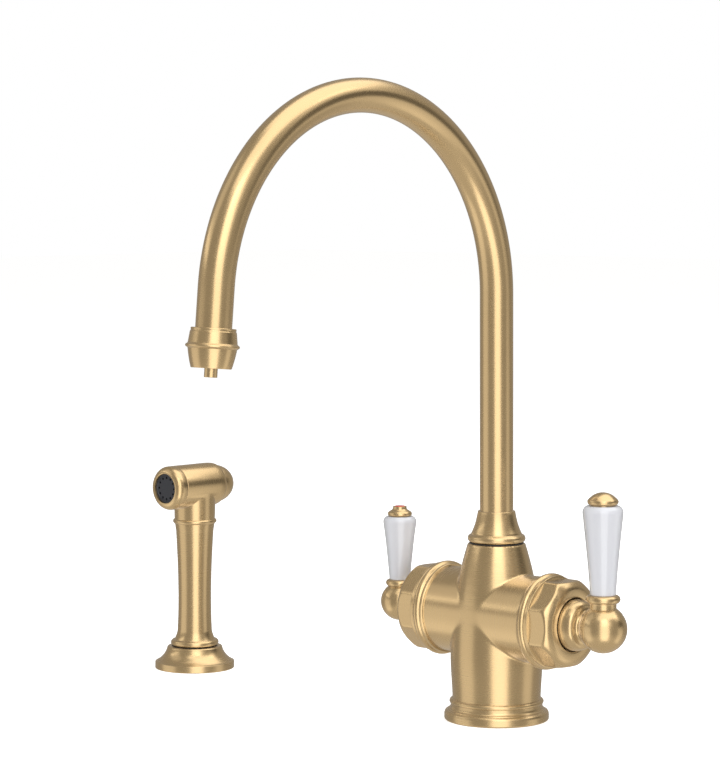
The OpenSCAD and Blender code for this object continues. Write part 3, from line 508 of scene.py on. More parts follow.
def moulded(name, colour, roughness, grain=900.0, depth=0.00003, coat=0.0, metallic=0.0):
    """Plastic, rubber or steel with a fine even texture."""
    material, tree, shader = new_material(name)
    noise = object_noise(tree, grain)
    lighter = tuple(min(1, c * 1.15 + 0.004) for c in colour)
    spread = 0.04
    tree.links.new(tinted(tree, noise, colour, lighter), shader.inputs["Base Color"])
    tree.links.new(ranged(tree, noise, roughness - spread, roughness + spread),
                   shader.inputs["Roughness"])
    shader.inputs["Coat Weight"].default_value = coat
    shader.inputs["Metallic"].default_value = metallic
    bumped(tree, shader, noise, strength=0.3, distance=depth)
    return material


def porcelain():
    """White glaze over a slightly uneven body."""
    material, tree, shader = new_material("porcelain_glaze")
    colour = tuple(finishes().porcelain)
    noise = object_noise(tree, 70)
    warmer = (min(1, colour[0] * 1.02), min(1, colour[1] * 1.015), colour[2])
    tree.links.new(tinted(tree, noise, colour, warmer), shader.inputs["Base Color"])
    tree.links.new(ranged(tree, noise, 0.04, 0.07), shader.inputs["Roughness"])
    shader.inputs["Coat Weight"].default_value = 1.0
    shader.inputs["Coat Roughness"].default_value = 0.02
    bumped(tree, shader, noise, strength=0.15, distance=0.0001)
    return material


# Pieces


def column_outline():
    """The column's foot, top and side. A thin lip at the top hides part of the bush."""
    low, high = size_of("body")
    lip, edge = 0.8, 0.4
    foot_r, top_r, belly, belly_z = 26.4, 17.3, 27.6, 38
    foot, top = low.z, high.z + lip
    side = (
        curve((foot_r, foot), (foot_r + 0.1, foot + 7), (belly, belly_z - 8), (belly, belly_z)) +
        curve((belly, belly_z), (belly, belly_z + 22), (23.8, high.z - 20), (top_r, top - edge)))
    return foot, top, side, top_r - edge


def body_distance(points, radii, heights, arm_radius, middle, soft):
    """Distance from the body's skin, and the arm's share there."""
    x, y, z = points.T
    column = np.hypot(x, y) - np.interp(z, heights, radii)
    arm = np.hypot(y, z - middle) - arm_radius
    share = np.clip((column - arm) / (2 * soft) + 0.5, 0, 1)
    return smooth_least(column, arm, soft), share


def settled(points, foot, top, arm_end, measure):
    """Moves points onto the skin that a distance gives, except on the flat ends."""
    step, rounds, reach, edge, least = 0.01, 6, 1.6, 0.6, 0.2
    for _ in range(rounds):
        here = measure(points)[0]
        slope = np.stack([(measure(points + offset)[0] - here) / step
                          for offset in np.eye(3) * step], axis=1)
        move = -here[:, None] * slope / np.maximum((slope ** 2).sum(axis=1), least)[:, None]
        x, z = np.abs(points[:, 0]), points[:, 2]
        free = (here > -reach) & (x < arm_end - edge) & (z > foot + edge) & (z < top - edge)
        points = points + np.where(free[:, None], move, 0)
    return points


def build_body():
    """Column and arms as one casting with soft joints."""
    sink, voxel, arm_radius = 1, 0.8, 25.5
    middle = arm_height()
    foot, top, side, top_r = column_outline()
    arm_end = arm_reach("right_flange_ring")[0] + sink
    base = foot - sink
    column = spun([(0, base), (side[0][0], base)] + side + [(top_r, top), (0, top)])
    arms = spun([(0, -arm_end), (arm_radius, -arm_end), (arm_radius, arm_end), (0, arm_end)])
    bmesh.ops.transform(arms, matrix=along_arm("right"), verts=arms.verts)
    column.from_mesh(plain_mesh("arms", arms))
    obj = linked("body_rough", plain_mesh("body_rough", column))
    remesh = obj.modifiers.new("voxels", "REMESH")
    remesh.mode = "VOXEL"
    remesh.voxel_size = voxel
    mesh = evaluated(obj, "body_casting")
    points = corners_of(mesh)
    radii = np.array([r for r, _ in side])
    heights = np.array([z for _, z in side])
    soft = sizes().body_fillet / MM

    def measure(at):
        return body_distance(at, radii, heights, arm_radius, middle, soft)

    points = settled(points, base, top, arm_end, measure)
    share = measure(points)[1]
    mesh.vertices.foreach_set("co", (points * MM).ravel())
    attribute = mesh.attributes.new("arm_share", "FLOAT", "POINT")
    attribute.data.foreach_set("value", share.astype(np.float32))
    mesh.update()
    mesh = combined("body_casting", mesh, stop_screw_hole(), "DIFFERENCE")
    brass = body_brass(along_arm("right"))
    piece("body_casting", mesh, "tap_body", "satin_brass", brass, "body")


def stop_screw_hole():
    """The shallow hole at the back that the swivel's stop screw sits in."""
    screw = "spout_stop_screw"
    radius = span(screw, X) / 2 + PLAY
    floor = size_of(screw)[1].y - 2.6
    mouth = floor + 12
    bm = spun([(0, floor), (radius, floor), (radius, mouth), (0, mouth)], steps=32)
    return mesh_of("stop_hole", bm, to_back(0, middle_of(screw, Z)))


def build_base_ring():
    high = size_of("base_ring")[1]
    r, h = high.x, high.z
    bore, edge, rim, bead = 21.6, 1.3, 3.4, 1.5
    outline = ([(bore, 0), (r - edge, 0)] + arc(r - edge, edge, edge, -90, 0) + [(r, rim)] +
               curve((r, rim), (r, 4.8), (r - 0.7, 5.9), (r - 1.9, 6)) +
               curve((r - 2.1, 6.4), (r - 3.3, 6.6), (r - 3.7, 7.8), (r - 3.8, 9.2)) +
               arc(r - 4.6, h - bead, bead, -60, 90) + [(bore, h)])
    turned_brass("base_ring_turned", outline, upright(), "tap_body", "base_ring")


def build_flange_ring(side):
    node = side + "_flange_ring"
    start, end = arm_reach(node)
    width = end - start
    r = span(node, Z) / 2
    step, middle, bead, edge = r - 1.5, width * 0.64, 2.6, 0.3
    outline = ([(NECK_HOLE, 0), (step - edge, 0), (step, edge), (step, middle - bead)] +
               arc(r - bead, middle, bead, -60, 60) + [(step - 0.4, width), (NECK_HOLE, width)])
    place = along_arm(side) @ upright(0, 0, start)
    turned_brass(node + "_turned", outline, place, "tap_body", node)


def cut_flats(bm, flats, back, soft):
    """Draws a turned shape in to eight flats with soft corners, in front of its round back."""
    sector = math.pi / 4
    for v in bm.verts:
        r = math.hypot(v.co.x, v.co.y)
        if v.co.z < back or r < flats - 3:
            continue
        angle = (math.atan2(v.co.y, v.co.x) + sector / 2) % sector - sector / 2
        flat = flats / math.cos(angle)
        neighbour = flats / math.cos(sector - abs(angle))
        both = smooth_least(flat, neighbour, soft)
        wanted = float(smooth_least(both, r, soft))
        v.co.x *= wanted / r
        v.co.y *= wanted / r


def build_bonnet_nut(side):
    node = side + "_bonnet_nut"
    start = arm_reach(node)[0]
    back, length, shoulder, edge, gap = 2.4, 17.3, 8.6, 0.4, 0.6
    flats = sizes().nut_flats / MM / 2
    corner = flats / math.cos(math.pi / 8) + 0.3
    hole = span(side + "_lever_hub", Y) / 2 + gap
    front = back + 0.1
    rows = 8
    straight = [(corner, front + (length - shoulder - front) * i / rows) for i in range(rows + 1)]
    outline = ([(NECK_HOLE, 0), (corner - edge, 0)] +
               arc(corner - edge, edge, edge, -90, 0, 4) +
               arc(corner - edge, back - edge, edge, 0, 80, 4) + straight +
               arc(corner - shoulder, length - shoulder, shoulder, 0, 76, 40)[1:] +
               curve((hole + 1.1, length - 0.3), (hole + 0.4, length - 0.4),
                     (hole, length - 0.9), (hole, length - 1.6), 6) +
               [(hole, 7), (NECK_HOLE, 6.8)])
    bm = spun(outline, closed=True, steps=2 * TURN_STEPS)
    cut_flats(bm, flats, back + 0.05, 0.9)
    place = along_arm(side) @ upright(0, 0, start)
    mesh = mesh_of(node + "_turned", bm, place)
    piece(node + "_turned", mesh, "tap_body", "satin_brass", satin_brass(node, place), node)


def build_lever_hub(side):
    """Bell and ball turned about the arm, joined to a neck and collar that stand up."""
    node = side + "_lever_hub"
    bell, collar = (12.4, 10.15) if side == "right" else (11.6, 8.6)
    grip_x = middle_of(side + "_grip", X)
    x = abs(grip_x)
    height = arm_height()
    start, end = arm_reach(node)
    ball = end - x
    rim, skirt = span(node, Y) / 2, 4.4
    bell_end = x - ball * 0.93
    cove = bell * 0.72
    meet = math.degrees(math.acos(-math.sqrt(1 - (cove / ball) ** 2)))
    outline = ([(0, start), (rim, start)] +
               curve((rim, start + skirt), (rim, bell_end - 3.2),
                     (bell + 1.3, bell_end - 0.6), (bell + 0.1, bell_end - 0.2), 24) +
               curve((bell, bell_end - 0.1), (bell - 0.5, bell_end + 0.2),
                     (cove + 0.8, bell_end - 0.2), (cove, bell_end + 1.1), 20))
    wrap = [(ball * math.sin(math.radians(a)), x + ball * math.cos(math.radians(a)))
            for a in np.linspace(meet, 0, 60)]
    turned = [p for p in outline if p[1] < wrap[0][1]] + wrap
    place = along_arm(side)
    arm_part = mesh_of(side + "_hub_arm", spun(turned), place)
    neck, bead = collar * 0.78, collar * 0.235
    rise = size_of(side + "_grip")[0].z - height
    root = math.sqrt(ball ** 2 - neck ** 2)
    upper = ([(0, 0), (neck, 0), (neck, root)] +
             curve((neck, root + 0.1), (neck - 0.2, root + 0.6), (neck, rise - 2 * bead - 0.1),
                   (collar - bead + 0.3, rise - 2 * bead + 0.05), 8) +
             arc(collar - bead, rise - bead, bead, -80, 90, 24) + [(0, rise)])
    neck_part = mesh_of(side + "_hub_neck", spun(upper), upright(grip_x, 0, height))
    mesh = combined(node + "_turned", arm_part, neck_part, "UNION")
    piece(node + "_turned", mesh, side + "_lever", "satin_brass", satin_brass(node, place), node)


def build_grip(side, material):
    """A tapered grip with a bore for the cap's plug."""
    node = side + "_grip"
    low, high = size_of(node)
    base, top = low.z, high.z
    foot, edge = 7.5 if side == "right" else 6.4, 0.5
    wide = span(node, Y) / 2
    rise = top - base
    shoulder = wide * 0.35
    bore = PLUG_RADIUS + PLAY
    outline = ([(bore, base)] + arc(foot - edge, base + edge, edge, -90, 0, 5) +
               curve((foot, base + 0.6), (foot + 1, base + rise * 0.33),
                     (wide - 1.4, base + rise * 0.66), (wide, top - shoulder), 24) +
               curve((wide, top - shoulder), (wide + 0.05, top - shoulder * 0.4),
                     (wide - 1.5, top), (wide * 0.72, top)) + [(bore, top)])
    mesh = mesh_of(node + "_glazed", spun(outline, closed=True), upright(middle_of(node, X)))
    piece(node + "_glazed", mesh, side + "_lever", "porcelain", material, node)


def build_right_cap():
    z = size_of("right_grip")[1].z
    r, h, rim = span("right_cap", Y) / 2, size_of("right_cap")[1].z - z, 2
    plug_end = z - 4.8
    outline = ([(0, plug_end), (PLUG_RADIUS, plug_end), (PLUG_RADIUS, z), (r - rim, z)] +
               arc(r - rim, z + 0.3 + rim, rim, -90, 55) +
               curve((r * 0.89, z + h * 0.53), (r * 0.76, z + h * 0.68),
                     (r * 0.48, z + h), (0, z + h), 24))
    place = upright(middle_of("right_grip", X))
    turned_brass("right_cap_turned", outline, place, "right_lever", "right_cap", closed=False)


def build_left_cap():
    z = size_of("left_grip")[1].z
    r, h = span("left_cap", Y) / 2, size_of("left_cap")[1].z - z
    rim, neck, edge = 1.5, 4.25, 0.3
    hole = span("safety_button", Y) / 2 + PLAY
    outline = ([(hole, z - 1), (PLUG_RADIUS, z - 1), (PLUG_RADIUS, z), (r - rim, z)] +
               arc(r - rim, z + rim, rim, -90, 60) +
               curve((r * 0.88, z + h * 0.48), (r * 0.75, z + h * 0.59),
                     (neck + 0.15, z + h * 0.64), (neck, z + h * 0.82), 20) +
               arc(neck - edge, z + h - edge, edge, 0, 90, 5) + [(hole, z + h)])
    place = upright(middle_of("left_grip", X))
    turned_brass("left_cap_turned", outline, place, "left_lever", "left_cap")


def build_safety_button():
    node = "safety_button"
    low, high = size_of(node)
    r, edge = span(node, X) / 2, 0.3
    outline = ([(0, low.z), (r, low.z)] + arc(r - edge, high.z - 0.45, edge, 0, 70, 8) +
               curve((r - edge, high.z - 0.12), (r * 0.7, high.z),
                     (r * 0.3, high.z), (0, high.z), 12))
    mesh = mesh_of("safety_button_moulded", spun(outline), upright(middle_of(node, X)))
    material = moulded("red_gloss", tuple(finishes().button), 0.2,
                       grain=400.0, depth=0.00001, coat=0.4)
    piece("safety_button_moulded", mesh, "safety_button", "red_button", material, node)


def build_spout_collar():
    low, high = size_of("spout_collar")
    r, base, top = high.x, low.z, high.z
    bead, mouth, edge = 2.4, 11.3, 0.5
    z = base + 2 * bead
    waist = r - 2.2
    hole = sizes().tube_radius / MM
    outline = ([(hole, base), (r - bead, base)] + arc(r - bead, base + bead, bead, -90, 80) +
               [(waist, z + 0.2)] +
               curve((waist - 0.1, z + 0.8), (waist - 1.9, z + 4.4),
                     (mouth + 0.9, top - 6), (mouth, top - 0.7)) +
               arc(mouth - edge, top - edge, edge, 0, 90, 5) + [(hole, top)])
    turned_brass("spout_collar_turned", outline, upright(), "spout", "spout_collar")


def build_spout_tube():
    """The bent tube, swept from a ring with spin and extrude."""
    s = sizes()
    radius = s.tube_radius / MM
    start = size_of("spout_tube")[0].z
    bend_r, bend_z = s.bend_radius / MM, s.bend_height / MM
    bm = bmesh.new()
    made = bmesh.ops.create_circle(bm, cap_ends=False, radius=radius, segments=96)
    bmesh.ops.translate(bm, vec=(0, 0, start), verts=made["verts"])
    rise_steps, bend_steps, run_steps, into_nozzle = 12, 140, 4, 9

    def push(edges, vector):
        out = bmesh.ops.extrude_edge_only(bm, edges=edges)["geom"]
        verts = [g for g in out if isinstance(g, bmesh.types.BMVert)]
        bmesh.ops.translate(bm, vec=vector, verts=verts)
        return verts, [g for g in out if isinstance(g, bmesh.types.BMEdge)]

    verts, edges = list(bm.verts), list(bm.edges)
    for _ in range(rise_steps):
        verts, edges = push(edges, (0, 0, (bend_z - start) / rise_steps))
    out = bmesh.ops.spin(bm, geom=verts + edges, cent=(0, -bend_r, bend_z), axis=(1, 0, 0),
                         angle=s.bend_angle, steps=bend_steps)["geom_last"]
    edges = [g for g in out if isinstance(g, bmesh.types.BMEdge)]
    way = bend_end().to_3x3() @ Vector((0, 0, 1))
    end = s.end_run / MM + into_nozzle
    for _ in range(run_steps):
        verts, edges = push(edges, way * (end / run_steps))
    bmesh.ops.remove_doubles(bm, verts=bm.verts, dist=WELD)
    bmesh.ops.recalc_face_normals(bm, faces=bm.faces)
    bmesh.ops.transform(bm, matrix=Matrix.Scale(MM, 4), verts=bm.verts)
    obj = linked("tube_skin", plain_mesh("tube_skin", bm))
    wall = obj.modifiers.new("wall", "SOLIDIFY")
    wall.thickness = s.tube_wall
    wall.offset = -1
    mesh = evaluated(obj, "spout_tube_bent")
    straight = unbent(corners_of(mesh)).astype(np.float32)
    attribute = mesh.attributes.new("straight_tube", "FLOAT_VECTOR", "POINT")
    attribute.data.foreach_set("vector", straight.ravel())
    piece("spout_tube_bent", smoothed(mesh), "spout", "satin_brass", tube_brass(), "spout_tube")


def unbent(points):
    """Where points of the bent tube would lie if it stood straight, in metres."""
    s = sizes()
    x, y, z = points.T
    out, up = y + s.bend_radius, z - s.bend_height
    turn = np.arctan2(up, out)
    turn = np.where(turn < -math.pi / 2, turn + 2 * math.pi, turn)
    turn = np.clip(turn, 0, s.bend_angle)
    across = out * np.cos(turn) + up * np.sin(turn) - s.bend_radius
    along = up * np.cos(turn) - out * np.sin(turn) + s.bend_height + turn * s.bend_radius
    return np.stack([x, across, along], axis=1)


def tube_brass():
    """Brass brushed round the tube, in the coordinates of the tube before it was bent."""
    material, tree, shader = new_material("satin_brass_tube")
    straight = tree.nodes.new("ShaderNodeAttribute")
    straight.attribute_name = "straight_tube"
    brass_shader(tree, shader, *grain_of(tree, straight.outputs["Vector"]))
    return material


def build_nozzle():
    """The beaded nozzle, and the narrow outlet for boiling water that stands out of it."""
    place = bend_end() @ upright(0, 0, sizes().end_run / MM)
    top, waist, ring, mouth, hole = 12.45, 13.5, 14.8, 11.2, 9.35
    at, length, bead = 9.8, 21.8, 0.9
    outline = ([(hole, 0), (top - 0.7, 0)] + arc(top - 0.6, 0.6, 0.6, -90, 20, 6) +
               curve((top - 0.05, 0.9), (top - 0.2, 1.4), (top - 0.1, 1.8), (top + 0.25, 2.1), 5) +
               [(waist, at - 1.5)] + arc(ring - bead, at, bead, -70, 60) +
               curve((waist - 0.1, at + 1.4), (waist - 0.5, at + 4.5),
                     (mouth + 0.8, length - 3), (mouth, length - 0.4)) +
               [(mouth - 0.15, length - 0.1), (mouth - 0.4, length), (hole, length)])
    turned_brass("nozzle_turned", outline, place, "spout", "nozzle")
    outer, inner, edge, start, end = 3.65, 2.2, 0.35, length - 8, length + 4.9
    pin = ([(inner, start), (outer, start), (outer, end - edge)] +
           arc(outer - edge, end - edge, edge, 0, 90, 5) + [(inner, end)])
    turned_brass("boiling_outlet_turned", pin, place, "spout", "boiling_outlet", steps=64)


def build_spray_holder():
    node = "spray_holder"
    r, h = span(node, X) / 2, size_of(node)[1].z
    rim, top, hole, edge, lip = 4.6, 18.2, 11.1, 0.6, 0.7
    seat = span("spray_liner", X) / 2 + 0.1
    outline = ([(hole, 0), (r - edge, 0)] + arc(r - edge, edge, edge, -90, 0, 5) +
               [(r, rim - 0.5)] + arc(r - 0.4, rim - 0.4, 0.4, 0, 80, 4) +
               curve((r - 1.2, rim + 0.4), (r - 4.6, rim + 2.4),
                     (top + 1, h - 4), (top, h + lip - 1), 24) +
               arc(top - 1, h + lip - 1, 1, 0, 90, 8) + [(seat, h + lip), (seat, h), (hole, h)])
    turned_brass(node + "_turned", outline, upright(spray_x()), "tap_body", node)


def build_spray_handle():
    """The waisted handle and the spigot that sits in the holder."""
    node = "spray_handle"
    low, high = size_of(node)
    spigot, foot_z, top = low.z, 14.75, high.z
    rise = top - foot_z
    bore, spigot_r, waist, neck, bead = 4.5, 9, 10.65, 12.9, 2.1
    foot = span(node, X) / 2
    outline = ([(bore, spigot), (spigot_r, spigot), (spigot_r, foot_z), (foot - 1.2, foot_z)] +
               arc(foot - bead, foot_z + bead, bead, -60, 85) +
               curve((foot - 2.5, foot_z + 2 * bead), (waist + 2.2, foot_z + 5),
                     (waist + 1.2, foot_z + 7.2), (waist + 0.75, foot_z + 9.6)) +
               curve((waist + 0.7, foot_z + 10.2), (waist - 0.35, foot_z + rise * 0.368),
                     (waist + 0.2, foot_z + rise * 0.638), (neck - 0.5, top - 4.4), 40) +
               [(neck, top - 1), (neck, top), (bore, top)])
    turned_brass(node + "_turned", outline, upright(spray_x()), "spray_handset", node)


def build_spray_head():
    """Neck and barrel joined, and the front ring as a piece of its own."""
    x = spray_x()
    joint = size_of("spray_handle")[1].z
    bezel = "spray_bezel"
    axis_z, r = middle_of(bezel, Z), span(bezel, Z) / 2
    front, back = -size_of(bezel)[1].y, size_of("spray_head")[1].y
    neck, bead = 13.8, 1.5
    bead_z = joint + bead + 0.2
    thumb = span("spray_button", Z) / 2
    upper = ([(0, joint), (neck - 0.4, joint)] + arc(neck - 0.9, bead_z, bead, -70, 70) +
             curve((neck - 0.45, bead_z + bead - 0.1), (neck - 0.5, bead_z + bead + 0.5),
                   (neck - 0.3, bead_z + bead + 2), (neck - 0.2, axis_z - 8), 8) +
             [(neck - 0.1, axis_z), (0, axis_z)])
    neck_mesh = mesh_of("head_neck", spun(upper), upright(x))
    edge, gap = 0.4, 0.1
    barrel = ([(0, front), (r - edge, front)] + arc(r - edge, front - edge, edge, 90, 0, 5) +
              curve((r, 7 - back), (r, 2.4 - back),
                    (thumb + 1.4, 0.3 - back), (thumb + 0.7, -back)) + [(0, -back)])
    place = to_front(x, axis_z)
    barrel_mesh = mesh_of("head_barrel", spun(barrel), place)
    recess, floor = thumb + gap, THUMB_TRAVEL + gap - size_of("spray_button")[0].y
    hollow = spun([(0, -back - 1), (recess, -back - 1), (recess, floor), (0, floor)])
    mesh = combined("head_joined", barrel_mesh, neck_mesh, "UNION")
    mesh = combined("spray_head_turned", mesh, mesh_of("thumb_recess", hollow, place), "DIFFERENCE")
    piece("spray_head_turned", mesh, "spray_handset", "satin_brass",
          satin_brass("spray_head", place), "spray_head")
    nose, face, length = 5, 9.55, span(bezel, Y)
    ring = ([(face, 0), (r - 0.5, 0)] + arc(r - edge, edge, edge, -90, 0, 4) +
            arc(r - nose, length - nose, nose, 0, 80, 20) +
            [(face + 0.6, length - 0.05), (face + 0.15, length - 0.3), (face, length - 0.8)])
    turned_brass(bezel + "_turned", ring, place @ upright(0, 0, front), "spray_handset", bezel)


def build_thumb_button():
    node = "spray_button"
    low, high = size_of(node)
    r = span(node, Z) / 2
    edge = size_of("spray_head")[1].y
    length = high.y - edge
    outline = ([(0, low.y), (r, low.y), (r, edge - 0.3)] +
               curve((r, edge + 0.3), (r, edge + length * 0.55),
                     (r * 0.58, high.y), (0, high.y), 24))
    place = to_back(spray_x(), middle_of(node, Z))
    turned_brass("thumb_button_turned", outline, place, "spray_button", node, closed=False)


def finish_inner_parts():
    """Gives the solids that stay as they are a finish by their material slot."""
    by_slot = {
        "satin_brass": satin_brass("inner", along_arm("right")),
        "seal_rubber": moulded("seal_rubber", (0.018, 0.018, 0.018), 0.6),
        "stainless_steel": moulded("machined_steel", (0.5, 0.5, 0.51), 0.3, metallic=1.0),
        # Dark plastic with a warm tint, which is a painted reflection of the brass round the shaded
        # gaps under the collar and the spray handle
        "black_plastic": moulded("black_plastic", (0.03, 0.024, 0.018), 0.5),
        "white_plastic": moulded("white_plastic", (0.6, 0.59, 0.55), 0.45),
        "dark_spray_face": moulded("spray_face", tuple(finishes().spray_face), 0.38),
        "valve_ceramic": moulded("valve_ceramic", (0.75, 0.73, 0.68), 0.3),
    }
    slots = {part["node"]: part["material_slot"] for part in frame["record"]["subparts"]}
    for name, obj in frame["nodes"].items():
        if obj.hide_render:
            continue
        obj.data.materials.clear()
        obj.data.materials.append(by_slot[slots[name]])


# Stage

# The photograph's frame and the camera that was fitted to it, in its pixels
PHOTO_HEIGHT = 772
FOCAL_PIXELS = 2841
HORIZON_PIXELS = 178.4
CAMERA_PLACE = (1.1067, -1.2944, 0.3235)
CAMERA_WAY = (-0.6856, 0.7280, 0)
CEILING_HEIGHT = 1.9
# Brightness of the room's parts in the reflections
ROOM_LIGHT = 0.38
TABLE_LIGHT = 0.62
SCREEN_SHADE = 0.25
# How far down the table starts, and how near to its middle the screen does
TABLE_EDGE = (-0.6, -0.25)
SCREEN_EDGE = (0.93, 0.99)
SCREEN_WAY = (0.68, 0.71, 0.18)
FLOOR_REACH = 8
FLOOR_GLOW = 0.66
# Flat lights above the tap: name, x, y, width, depth and radiance
CEILINGS = (
    ("ceiling_back", 0.6, 0.7, 2.4, 2.2, 1.35),
    ("ceiling_front", 0.8, -1.0, 1.6, 1.2, 1.2),
)
# Upright lights: name, azimuth from the camera's, distance, width, foot, top and radiance
SOFT_BOXES = (
    ("key", 7.8, 1.5, 1.13, -1.6, 1.8, 1.35),
    ("left_strip", -92, 1.9, 1.3, 0.7, 1.0, 1.1),
    ("left_upper", -92, 1.9, 1.3, 1.0, 2.6, 0.35),
    ("key_upper", 16, 2.1, 2.2, 0.8, 2.5, 0.5),
    ("left_lower", -82, 1.9, 1.5, -1.9, 0.34, 0.5),
    ("right_upper", 90, 1.9, 1.0, 1.1, 2.2, 0.6),
    ("right_lower", 87, 1.9, 1.0, -2.0, 0.24, 0.45),
)


def build_camera():
    data = bpy.data.cameras.new("camera")
    data.sensor_width = 36
    data.lens = data.sensor_width * FOCAL_PIXELS / PHOTO_HEIGHT
    data.shift_y = (HORIZON_PIXELS - PHOTO_HEIGHT / 2) / PHOTO_HEIGHT
    data.clip_end = 50
    camera = linked("camera", data)
    camera.location = CAMERA_PLACE
    camera.rotation_mode = "QUATERNION"
    camera.rotation_quaternion = Vector(CAMERA_WAY).to_track_quat("-Z", "Y")
    bpy.context.scene.camera = camera


def soft_box(name, azimuth, distance, width, low, high, radiance):
    """An upright light that faces the tap, azimuth 0 in front of it and 90 on its right."""
    a = math.radians(azimuth)
    way = Vector((math.sin(a), -math.cos(a), 0))
    height = high - low
    data = bpy.data.lights.new(name, "AREA")
    data.shape = "RECTANGLE"
    data.size = width
    data.size_y = height
    data.energy = radiance * math.pi * width * height
    lamp = linked(name, data)
    lamp.location = way * distance + Vector((0, 0, (low + high) / 2))
    lamp.rotation_mode = "QUATERNION"
    lamp.rotation_quaternion = (-way).to_track_quat("-Z", "Y")
    lamp.visible_camera = False
    return lamp


def build_ceiling(name, x, y, width, depth, radiance):
    """A flat light above the tap that faces down."""
    lamp = soft_box(name, 0, 0, width, 0, depth, radiance)
    lamp.location = (x, y, CEILING_HEIGHT)
    lamp.rotation_quaternion = Vector((0, 0, -1)).to_track_quat("-Z", "Y")


def build_world():
    """White behind the tap for the camera. Reflections show a dimmer room, a brighter
    table below it and a dark screen at the back on the right."""
    world = bpy.data.worlds.new("studio")
    bpy.context.scene.world = world
    world.use_nodes = True
    tree = world.node_tree
    way = tree.nodes.new("ShaderNodeTexCoord").outputs["Generated"]
    split = tree.nodes.new("ShaderNodeSeparateXYZ")
    tree.links.new(way, split.inputs[0])
    level = ranged(tree, split.outputs["Z"], TABLE_LIGHT, ROOM_LIGHT, *TABLE_EDGE)
    toward = tree.nodes.new("ShaderNodeVectorMath")
    toward.operation = "DOT_PRODUCT"
    tree.links.new(way, toward.inputs[0])
    toward.inputs[1].default_value = SCREEN_WAY
    screen = ranged(tree, toward.outputs["Value"], 1, SCREEN_SHADE, *SCREEN_EDGE)
    room = tree.nodes["Background"]
    room.inputs["Color"].default_value = (1, 0.99, 0.97, 1)
    tree.links.new(math_node(tree, "MULTIPLY", level, screen), room.inputs["Strength"])
    white = tree.nodes.new("ShaderNodeBackground")
    white.inputs["Color"].default_value = (1, 1, 1, 1)
    path = tree.nodes.new("ShaderNodeLightPath")
    mix = tree.nodes.new("ShaderNodeMixShader")
    tree.links.new(path.outputs["Is Camera Ray"], mix.inputs[0])
    tree.links.new(room.outputs[0], mix.inputs[1])
    tree.links.new(white.outputs[0], mix.inputs[2])
    tree.links.new(mix.outputs[0], tree.nodes["World Output"].inputs["Surface"])


def build_floor():
    """A pale floor, lit evenly so that it meets the white behind it without a line."""
    bm = bmesh.new()
    bmesh.ops.create_grid(bm, x_segments=1, y_segments=1, size=FLOOR_REACH)
    floor = linked("floor", plain_mesh("floor", bm))
    material, _, shader = new_material("pale_floor")
    shader.inputs["Base Color"].default_value = (*finishes().floor, 1)
    shader.inputs["Roughness"].default_value = 1
    shader.inputs["Specular IOR Level"].default_value = 0
    shader.inputs["Emission Color"].default_value = (1, 1, 1, 1)
    shader.inputs["Emission Strength"].default_value = FLOOR_GLOW
    floor.data.materials.append(material)
    floor.visible_glossy = False
    floor.visible_diffuse = False
    floor.visible_shadow = False


def build_stage():
    scene = bpy.context.scene
    scene.view_settings.view_transform = "Standard"
    build_camera()
    build_world()
    build_floor()
    for ceiling in CEILINGS:
        build_ceiling(*ceiling)
    camera_side = math.degrees(math.atan2(CAMERA_PLACE[0], -CAMERA_PLACE[1]))
    for name, azimuth, *rest in SOFT_BOXES:
        soft_box(name, camera_side + azimuth, *rest)


# Operators


class TAP_OT_body(bpy.types.Operator):
    """Build the column and its two arms"""

    bl_idname = "tap.body"
    bl_label = "Body"

    def execute(self, context):
        build_body()
        return {"FINISHED"}


class TAP_OT_base_ring(bpy.types.Operator):
    """Build the ring under the column"""

    bl_idname = "tap.base_ring"
    bl_label = "Base Ring"

    def execute(self, context):
        build_base_ring()
        return {"FINISHED"}


class TAP_OT_arm_rings(bpy.types.Operator):
    """Build the beaded ring and the eight-sided nut on each arm"""

    bl_idname = "tap.arm_rings"
    bl_label = "Arm Rings and Nuts"

    def execute(self, context):
        for side in SIDES:
            build_flange_ring(side)
            build_bonnet_nut(side)
        return {"FINISHED"}


class TAP_OT_lever_hubs(bpy.types.Operator):
    """Build the bell, ball and collar of each lever"""

    bl_idname = "tap.lever_hubs"
    bl_label = "Lever Hubs"

    def execute(self, context):
        for side in SIDES:
            build_lever_hub(side)
        return {"FINISHED"}


class TAP_OT_grips(bpy.types.Operator):
    """Build the two porcelain grips"""

    bl_idname = "tap.grips"
    bl_label = "Porcelain Grips"

    def execute(self, context):
        glaze = porcelain()
        for side in SIDES:
            build_grip(side, glaze)
        return {"FINISHED"}


class TAP_OT_caps(bpy.types.Operator):
    """Build the caps on the grips and the safety button"""

    bl_idname = "tap.caps"
    bl_label = "Caps and Button"

    def execute(self, context):
        build_right_cap()
        build_left_cap()
        build_safety_button()
        return {"FINISHED"}


class TAP_OT_spout(bpy.types.Operator):
    """Build the spout's collar and its bent tube"""

    bl_idname = "tap.spout"
    bl_label = "Spout"

    def execute(self, context):
        build_spout_collar()
        build_spout_tube()
        return {"FINISHED"}


class TAP_OT_nozzle(bpy.types.Operator):
    """Build the nozzle and the outlet for boiling water"""

    bl_idname = "tap.nozzle"
    bl_label = "Nozzle"

    def execute(self, context):
        build_nozzle()
        return {"FINISHED"}


class TAP_OT_spray_holder(bpy.types.Operator):
    """Build the side spray's holder"""

    bl_idname = "tap.spray_holder"
    bl_label = "Spray Holder"

    def execute(self, context):
        build_spray_holder()
        return {"FINISHED"}


class TAP_OT_spray_handset(bpy.types.Operator):
    """Build the side spray's handle, head and thumb button"""

    bl_idname = "tap.spray_handset"
    bl_label = "Spray Handset"

    def execute(self, context):
        build_spray_handle()
        build_spray_head()
        build_thumb_button()
        return {"FINISHED"}


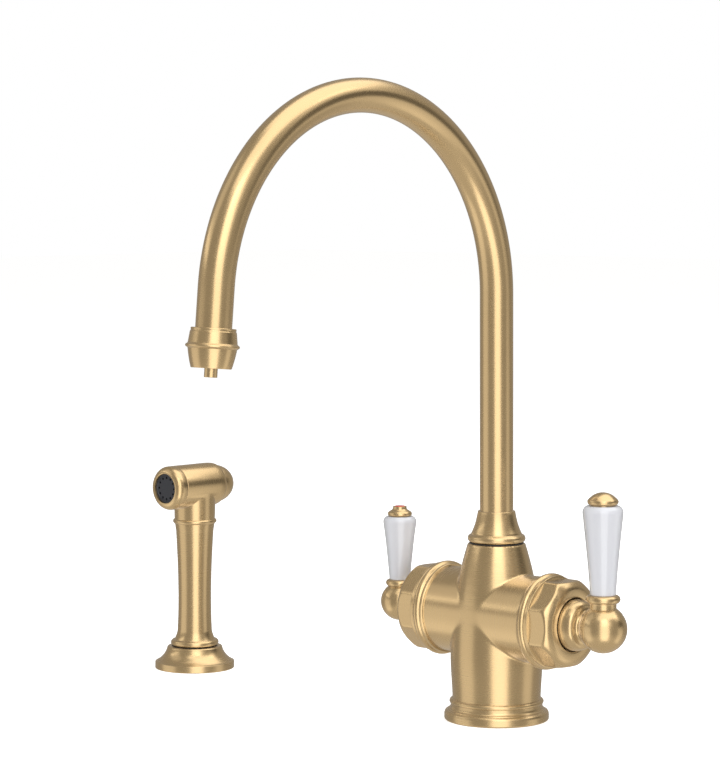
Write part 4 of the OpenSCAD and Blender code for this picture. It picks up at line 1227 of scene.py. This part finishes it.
class TAP_OT_inner_parts(bpy.types.Operator):
    """Give the remaining solids their finishes"""

    bl_idname = "tap.inner_parts"
    bl_label = "Inner Parts"

    def execute(self, context):
        finish_inner_parts()
        return {"FINISHED"}


class TAP_OT_stage(bpy.types.Operator):
    """Build the floor, the lights and the camera"""

    bl_idname = "tap.stage"
    bl_label = "Stage"

    def execute(self, context):
        build_stage()
        return {"FINISHED"}


OPERATORS = (
    TAP_OT_body, TAP_OT_base_ring, TAP_OT_arm_rings, TAP_OT_lever_hubs, TAP_OT_grips,
    TAP_OT_caps, TAP_OT_spout, TAP_OT_nozzle, TAP_OT_spray_holder, TAP_OT_spray_handset,
    TAP_OT_inner_parts, TAP_OT_stage,
)


class TAP_PT_panel(bpy.types.Panel):
    """Lists the sizes, the finishes and the build steps"""

    bl_idname = "TAP_PT_panel"
    bl_label = "Boiling Water Tap"
    bl_space_type = "VIEW_3D"
    bl_region_type = "UI"
    bl_category = "Tap"

    def draw(self, context):
        for group in (context.scene.tap_sizes, context.scene.tap_finishes):
            for name in group.__annotations__:
                self.layout.prop(group, name)
        for operator in OPERATORS:
            self.layout.operator(operator.bl_idname)


CLASSES = (TapSizes, TapFinishes) + OPERATORS + (TAP_PT_panel,)


def register():
    for cls in CLASSES:
        bpy.utils.register_class(cls)
    bpy.types.Scene.tap_sizes = PointerProperty(type=TapSizes)
    bpy.types.Scene.tap_finishes = PointerProperty(type=TapFinishes)


def unregister():
    del bpy.types.Scene.tap_finishes
    del bpy.types.Scene.tap_sizes
    for cls in reversed(CLASSES):
        bpy.utils.unregister_class(cls)


def main():
    register()
    bpy.ops.tap.body()
    bpy.ops.tap.base_ring()
    bpy.ops.tap.arm_rings()
    bpy.ops.tap.lever_hubs()
    bpy.ops.tap.grips()
    bpy.ops.tap.caps()
    bpy.ops.tap.spout()
    bpy.ops.tap.nozzle()
    bpy.ops.tap.spray_holder()
    bpy.ops.tap.spray_handset()
    bpy.ops.tap.inner_parts()
    bpy.ops.tap.stage()


if __name__ == "__main__":
    main()
